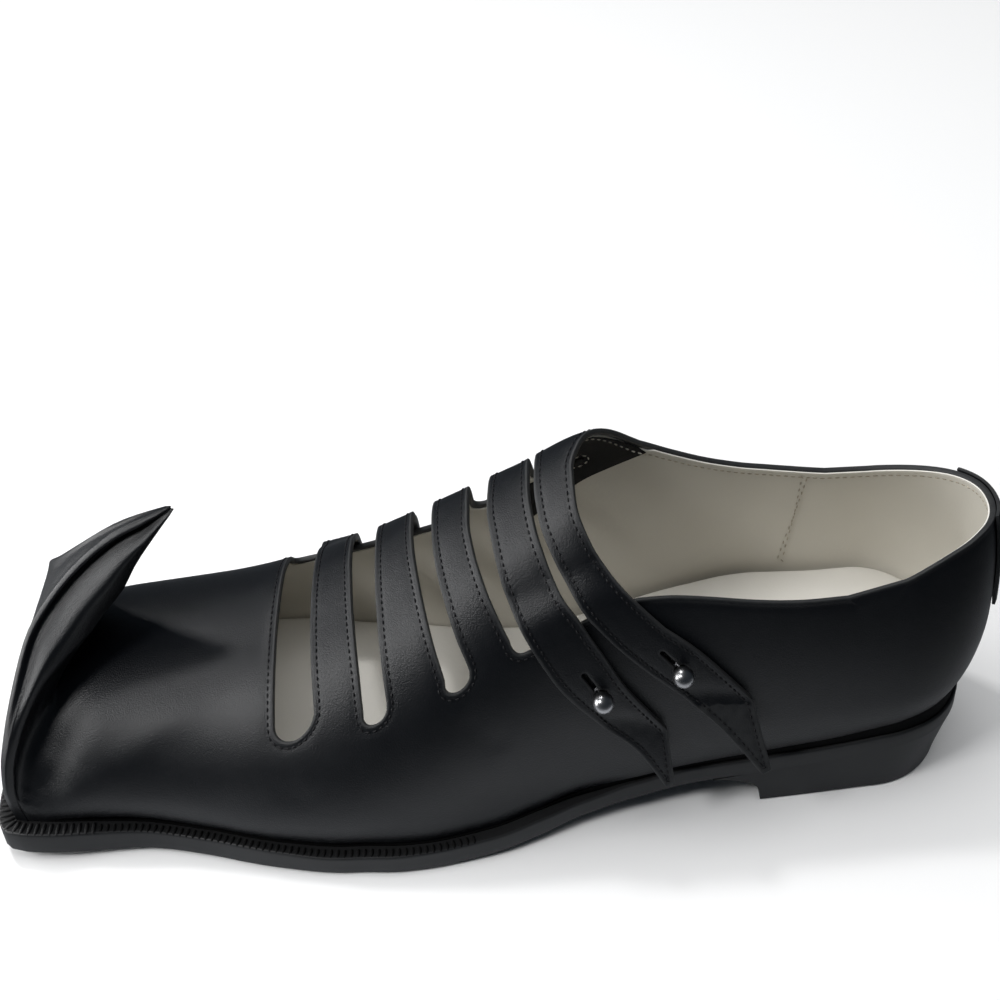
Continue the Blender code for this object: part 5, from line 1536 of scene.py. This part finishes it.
def beads(name, slot, finish, paths, pitch, along, across, height):
    """Beads along paths of shoe points, as a plain mesh."""
    mesh = bpy.data.meshes.new(name + "_paths")
    points, edges = [], []
    for path in paths:
        edges += [(len(points) + k, len(points) + k + 1) for k in range(len(path) - 1)]
        points += [tuple(p) for p in place(path)]
    mesh.from_pydata(points, edges, [])
    guide = bpy.data.objects.new(name + "_guide", mesh)
    bpy.context.scene.collection.objects.link(guide)
    modifier = guide.modifiers.new("beads", "NODES")
    modifier.node_group = BEADS
    values = {"Pitch": pitch * MM, "Along": along * MM, "Across": across * MM, "Height": height * MM,
              "Material": finish}
    for item in BEADS.interface.items_tree:
        if item.in_out == "INPUT" and item.name in values:
            modifier[item.identifier] = values[item.name]
    graph = bpy.context.evaluated_depsgraph_get()
    made = bpy.data.meshes.new_from_object(guide.evaluated_get(graph))
    bpy.data.objects.remove(guide, do_unlink=True)
    return settle(made, name, finish)


# %% Stitch paths
def runs(keep):
    """Start and end of each unbroken run of True on a closed loop."""
    count = len(keep)
    if keep.all():
        return [(0, count)]
    begin = [k for k in range(count) if keep[k] and not keep[k - 1]]
    return [(k, next(j for j in range(k, k + count) if not keep[j % count])) for k in begin]


def edge_path(loop, keep, depth, tucked, lift):
    """Pieces of a loop moved onto the leather by depth, lifted to its face."""
    paths = []
    for begin, end in runs(keep):
        index = np.arange(begin, end) % len(loop.points)
        at = loop.points[index] - depth * loop.out[index]
        if len(at) > 3:
            paths.append(last(at, tucked) + lift(at)[:, None] * normals(at, tucked))
    return paths


# %% Stitches along the edges
THREAD_PITCH, THREAD_LONG, THREAD_WIDE = 2.0, 1.35, 0.6
SUNK, RAW_BEHIND, RAW_LATERAL = -0.04, 104, -5
paths = []
for opening in openings:
    raw_collar = (opening.points[:, 0] < RAW_BEHIND) & (opening.points[:, 1] < RAW_LATERAL)
    keep = opening.real & ~raw_collar
    paths += edge_path(opening, keep, STITCH_IN, True, lambda at: np.full(len(at), SUNK))
for stud, rim in strap_ends.items():
    paths += edge_path(rim, rim.real, STITCH_IN, False, lambda at, stud=stud: free_lift(at, stud)[0] + SUNK)
THREAD = (THREAD_PITCH, THREAD_LONG, THREAD_WIDE, THREAD_WIDE)
beads("edge_stitches", "upper_leather", black_thread, paths, *THREAD)

# %% Stitches inside
FACING_START, TOPLINE_IN, FACING_LEVEL, LINING_LEVEL, SEAM_LEVEL = 97.0, 2.3, -2.5, -2.06, -2.32
FINE_THREAD, RING_RADIUS, ZIGZAG = (2.2, 1.5, 0.45, 0.45), 2.9, (0.7, -0.9)


def on_inside(at):
    """Face of the lining, or of the facing in front of the collar."""
    return np.where(at[:, 0] > FACING_START, FACING_LEVEL, LINING_LEVEL)


collar = openings[1]
p, q = collar.points.T
heel_back = (p < HEEL_CENTRE) & (q > -40)
topline = ((p < 121) & (q > 5) & (q < 60)) | heel_back
on_facing = p > FACING_START
facing_paths = edge_path(collar, topline & collar.real & on_facing, TOPLINE_IN, True, on_inside)
turn = np.radians(np.arange(0, 361, 12))
ring = STUD_BACK + RING_RADIUS * np.stack([np.cos(turn), np.sin(turn)], axis=1)
facing_paths.append(last(ring) + FACING_LEVEL * normals(ring))
beads("facing_stitches", "upper_leather", pale_thread, facing_paths, *FINE_THREAD)
lining_paths = edge_path(collar, topline & collar.real & ~on_facing, TOPLINE_IN, True, on_inside)
zigzag = seam_run + np.outer(np.resize(ZIGZAG, len(seam_run)), (1.0, 0.0))
lining_paths.append(last(zigzag) + SEAM_LEVEL * normals(zigzag))
beads("lining_stitches", "insole_leather", tan_thread, lining_paths, *FINE_THREAD)

# %% Welt ribs
# Ribs: pitch, length along the welt, width across it, height
TOE_RIBS, SIDE_RIBS = (2.0, 1.35, 4.6, 1.3), (1.9, 1.2, 3.2, 1.0)
RIBS_FROM, TOE_FROM, RIB_SUNK = 150, 258, 0.15
ribbed = foot_loop(lambda l: 0.5 * ledge(l) + 0.05)
begin, end = runs(ribbed[:, 0] > RIBS_FROM)[0]
path = ribbed[np.arange(begin, end) % len(ribbed)]
path = np.column_stack([path, sole_top(path[:, 0]) - RIB_SUNK])
toe = [k for k in range(len(path)) if path[k, 0] > TOE_FROM]
sides = [path[:toe[0] + 1], path[toe[-1]:]]
beads("toe_ribs", "sole_leather", sole_stain, [path[toe[0]:toe[-1] + 1]], *TOE_RIBS)
# The side ribs take the darker stain, which paints the shade of the recess along the sides.
beads("side_ribs", "sole_leather", welt_stain_painted_shade, sides, *SIDE_RIBS)

# %% [markdown]
# ## Stage
#
# The shoe stands on a plain pale floor in soft studio light. A picture of a studio could light it, but a
# few lamps are easier to aim. One hangs on the toe side towards the camera and puts the sheen on the
# vamp; one hangs beyond the shoe and throws the point's shadow across it; a broad flood whitens the
# floor; a white card at the toe shows in the point's leather. Seen by the camera the floor is white all
# over, but it throws light back only near the shoe, which keeps the sides dark.

# %% Floor
FLOOR_HALF, FLOOR_GAP, BOUNCE_REACH = 1.3, 0.0002, (0.22, 0.13)
floor_mesh = bpy.data.meshes.new("floor")
square = ((-1, -1), (1, -1), (1, 1), (-1, 1))
floor_mesh.from_pydata([(x * FLOOR_HALF, y * FLOOR_HALF, -FLOOR_GAP) for x, y in square], [], [(0, 1, 2, 3)])
floor = bpy.data.objects.new("floor", floor_mesh)
bpy.context.scene.collection.objects.link(floor)
floor_finish, tree, shader = material("floor_finish", {"Roughness": 0.8, "Specular IOR Level": 0.1})
spot = add_node(tree, "ShaderNodeTexCoord").outputs["Object"]
shrunk = add_node(tree, "ShaderNodeVectorMath", {"operation": "MULTIPLY"}, {0: spot},
                  {1: (1 / BOUNCE_REACH[0], 1 / BOUNCE_REACH[1], 0.0)})
away = add_node(tree, "ShaderNodeVectorMath", {"operation": "LENGTH"}, {0: shrunk.outputs["Vector"]})
fading = add_node(tree, "ShaderNodeMapRange", None, {"Value": away.outputs["Value"]},
                  {"From Min": 0.45, "From Max": 1.15})
bounced = mixed(tree, fading.outputs["Result"], (0.7, 0.72, 0.75), (0.05, 0.055, 0.06))
seen = add_node(tree, "ShaderNodeLightPath").outputs["Is Camera Ray"]
shown = add_node(tree, "ShaderNodeMix", {"data_type": "RGBA"}, {"Factor": seen, "A": bounced})
shown.inputs["B"].default_value = (0.9, 0.9, 0.9, 1.0)
tree.links.new(shown.outputs["Result"], shader.inputs["Base Color"])
floor_mesh.materials.append(floor_finish)
print("floor: %.1f m square" % (2 * FLOOR_HALF))


# %% Lamps and backdrop
def lamp(name, toward, distance, size, power, mirrored=True):
    """A square lamp in a direction from the shoe's middle, facing it; mirrored lamps show as highlights."""
    light = bpy.data.lights.new(name, "AREA")
    light.size, light.energy = size, power
    obj = bpy.data.objects.new(name, light)
    bpy.context.scene.collection.objects.link(obj)
    aim = Vector(toward).normalized()
    facing = aim.to_track_quat("Z", "Y").to_matrix().to_4x4()
    obj.matrix_world = Matrix.Translation(aim * distance) @ facing
    obj.visible_glossy = mirrored
    return obj


lamp("key_lamp", (-0.58, -0.34, 0.74), 1.6, 0.36, 8)
lamp("top_lamp", (-0.32, 0.33, 0.89), 1.6, 0.16, 7)
lamp("flood_lamp", (0.05, 0.1, 1.0), 3.0, 3.0, 70, mirrored=False)
card = lamp("toe_card", (-1.0, 0.05, 0.1), 0.75, 0.75, 9.0)
card.visible_camera = False
world = bpy.data.worlds.new("studio")
bpy.context.scene.world = world
world.use_nodes = True
tree = world.node_tree
fill = tree.nodes["Background"]
fill.inputs["Color"].default_value = (0.7, 0.85, 1.0, 1)
fill.inputs["Strength"].default_value = 0.045
backdrop = tree.nodes.new("ShaderNodeBackground")
backdrop.inputs["Color"].default_value = (0.52, 0.53, 0.54, 1)
joined = tree.nodes.new("ShaderNodeMixShader")
seen = tree.nodes.new("ShaderNodeLightPath")
tree.links.new(seen.outputs["Is Camera Ray"], joined.inputs["Fac"])
tree.links.new(fill.outputs["Background"], joined.inputs[1])
tree.links.new(backdrop.outputs["Background"], joined.inputs[2])
tree.links.new(joined.outputs["Shader"], tree.nodes["World Output"].inputs["Surface"])
bpy.context.scene.view_settings.view_transform = "Standard"
print("lamps:", ", ".join(light.name for light in bpy.data.lights))

# %% [markdown]
# ## Camera
#
# The camera looks down on the lateral side at the photo's angle, slightly rolled. A Track To constraint
# doesn't roll it, so its three axes are worked out and written into its matrix.

# %% Camera
CAMERA_AZIMUTH, CAMERA_HEIGHT, CAMERA_ROLL = np.radians((0.94, 39.25, -3.09))
CAMERA_DISTANCE, CAMERA_AIM, CAMERA_LENS = 410.5, (-138.7, 0.0, 88.5), 53.97
side_way = np.sin(CAMERA_AZIMUTH) * np.cos(CAMERA_HEIGHT)
back = Vector((side_way, -np.cos(CAMERA_AZIMUTH) * np.cos(CAMERA_HEIGHT), np.sin(CAMERA_HEIGHT)))
level = Vector((0, 0, 1)).cross(back).normalized()
steep = back.cross(level)
right = level * np.cos(CAMERA_ROLL) + steep * np.sin(CAMERA_ROLL)
upward = steep * np.cos(CAMERA_ROLL) - level * np.sin(CAMERA_ROLL)
aim = Vector((CAMERA_AIM[0] + SHIFT[0], CAMERA_AIM[1] + SHIFT[1], CAMERA_AIM[2])) * MM
lens = bpy.data.cameras.new("camera")
lens.lens, lens.sensor_width, lens.clip_start = CAMERA_LENS, 36.0, 0.01
camera = bpy.data.objects.new("camera", lens)
bpy.context.scene.collection.objects.link(camera)
turn = Matrix((right, upward, back)).transposed().to_4x4()
camera.matrix_world = Matrix.Translation(aim + back * CAMERA_DISTANCE * MM) @ turn
bpy.context.scene.camera = camera
print("camera: %.0f mm from its aim" % CAMERA_DISTANCE)
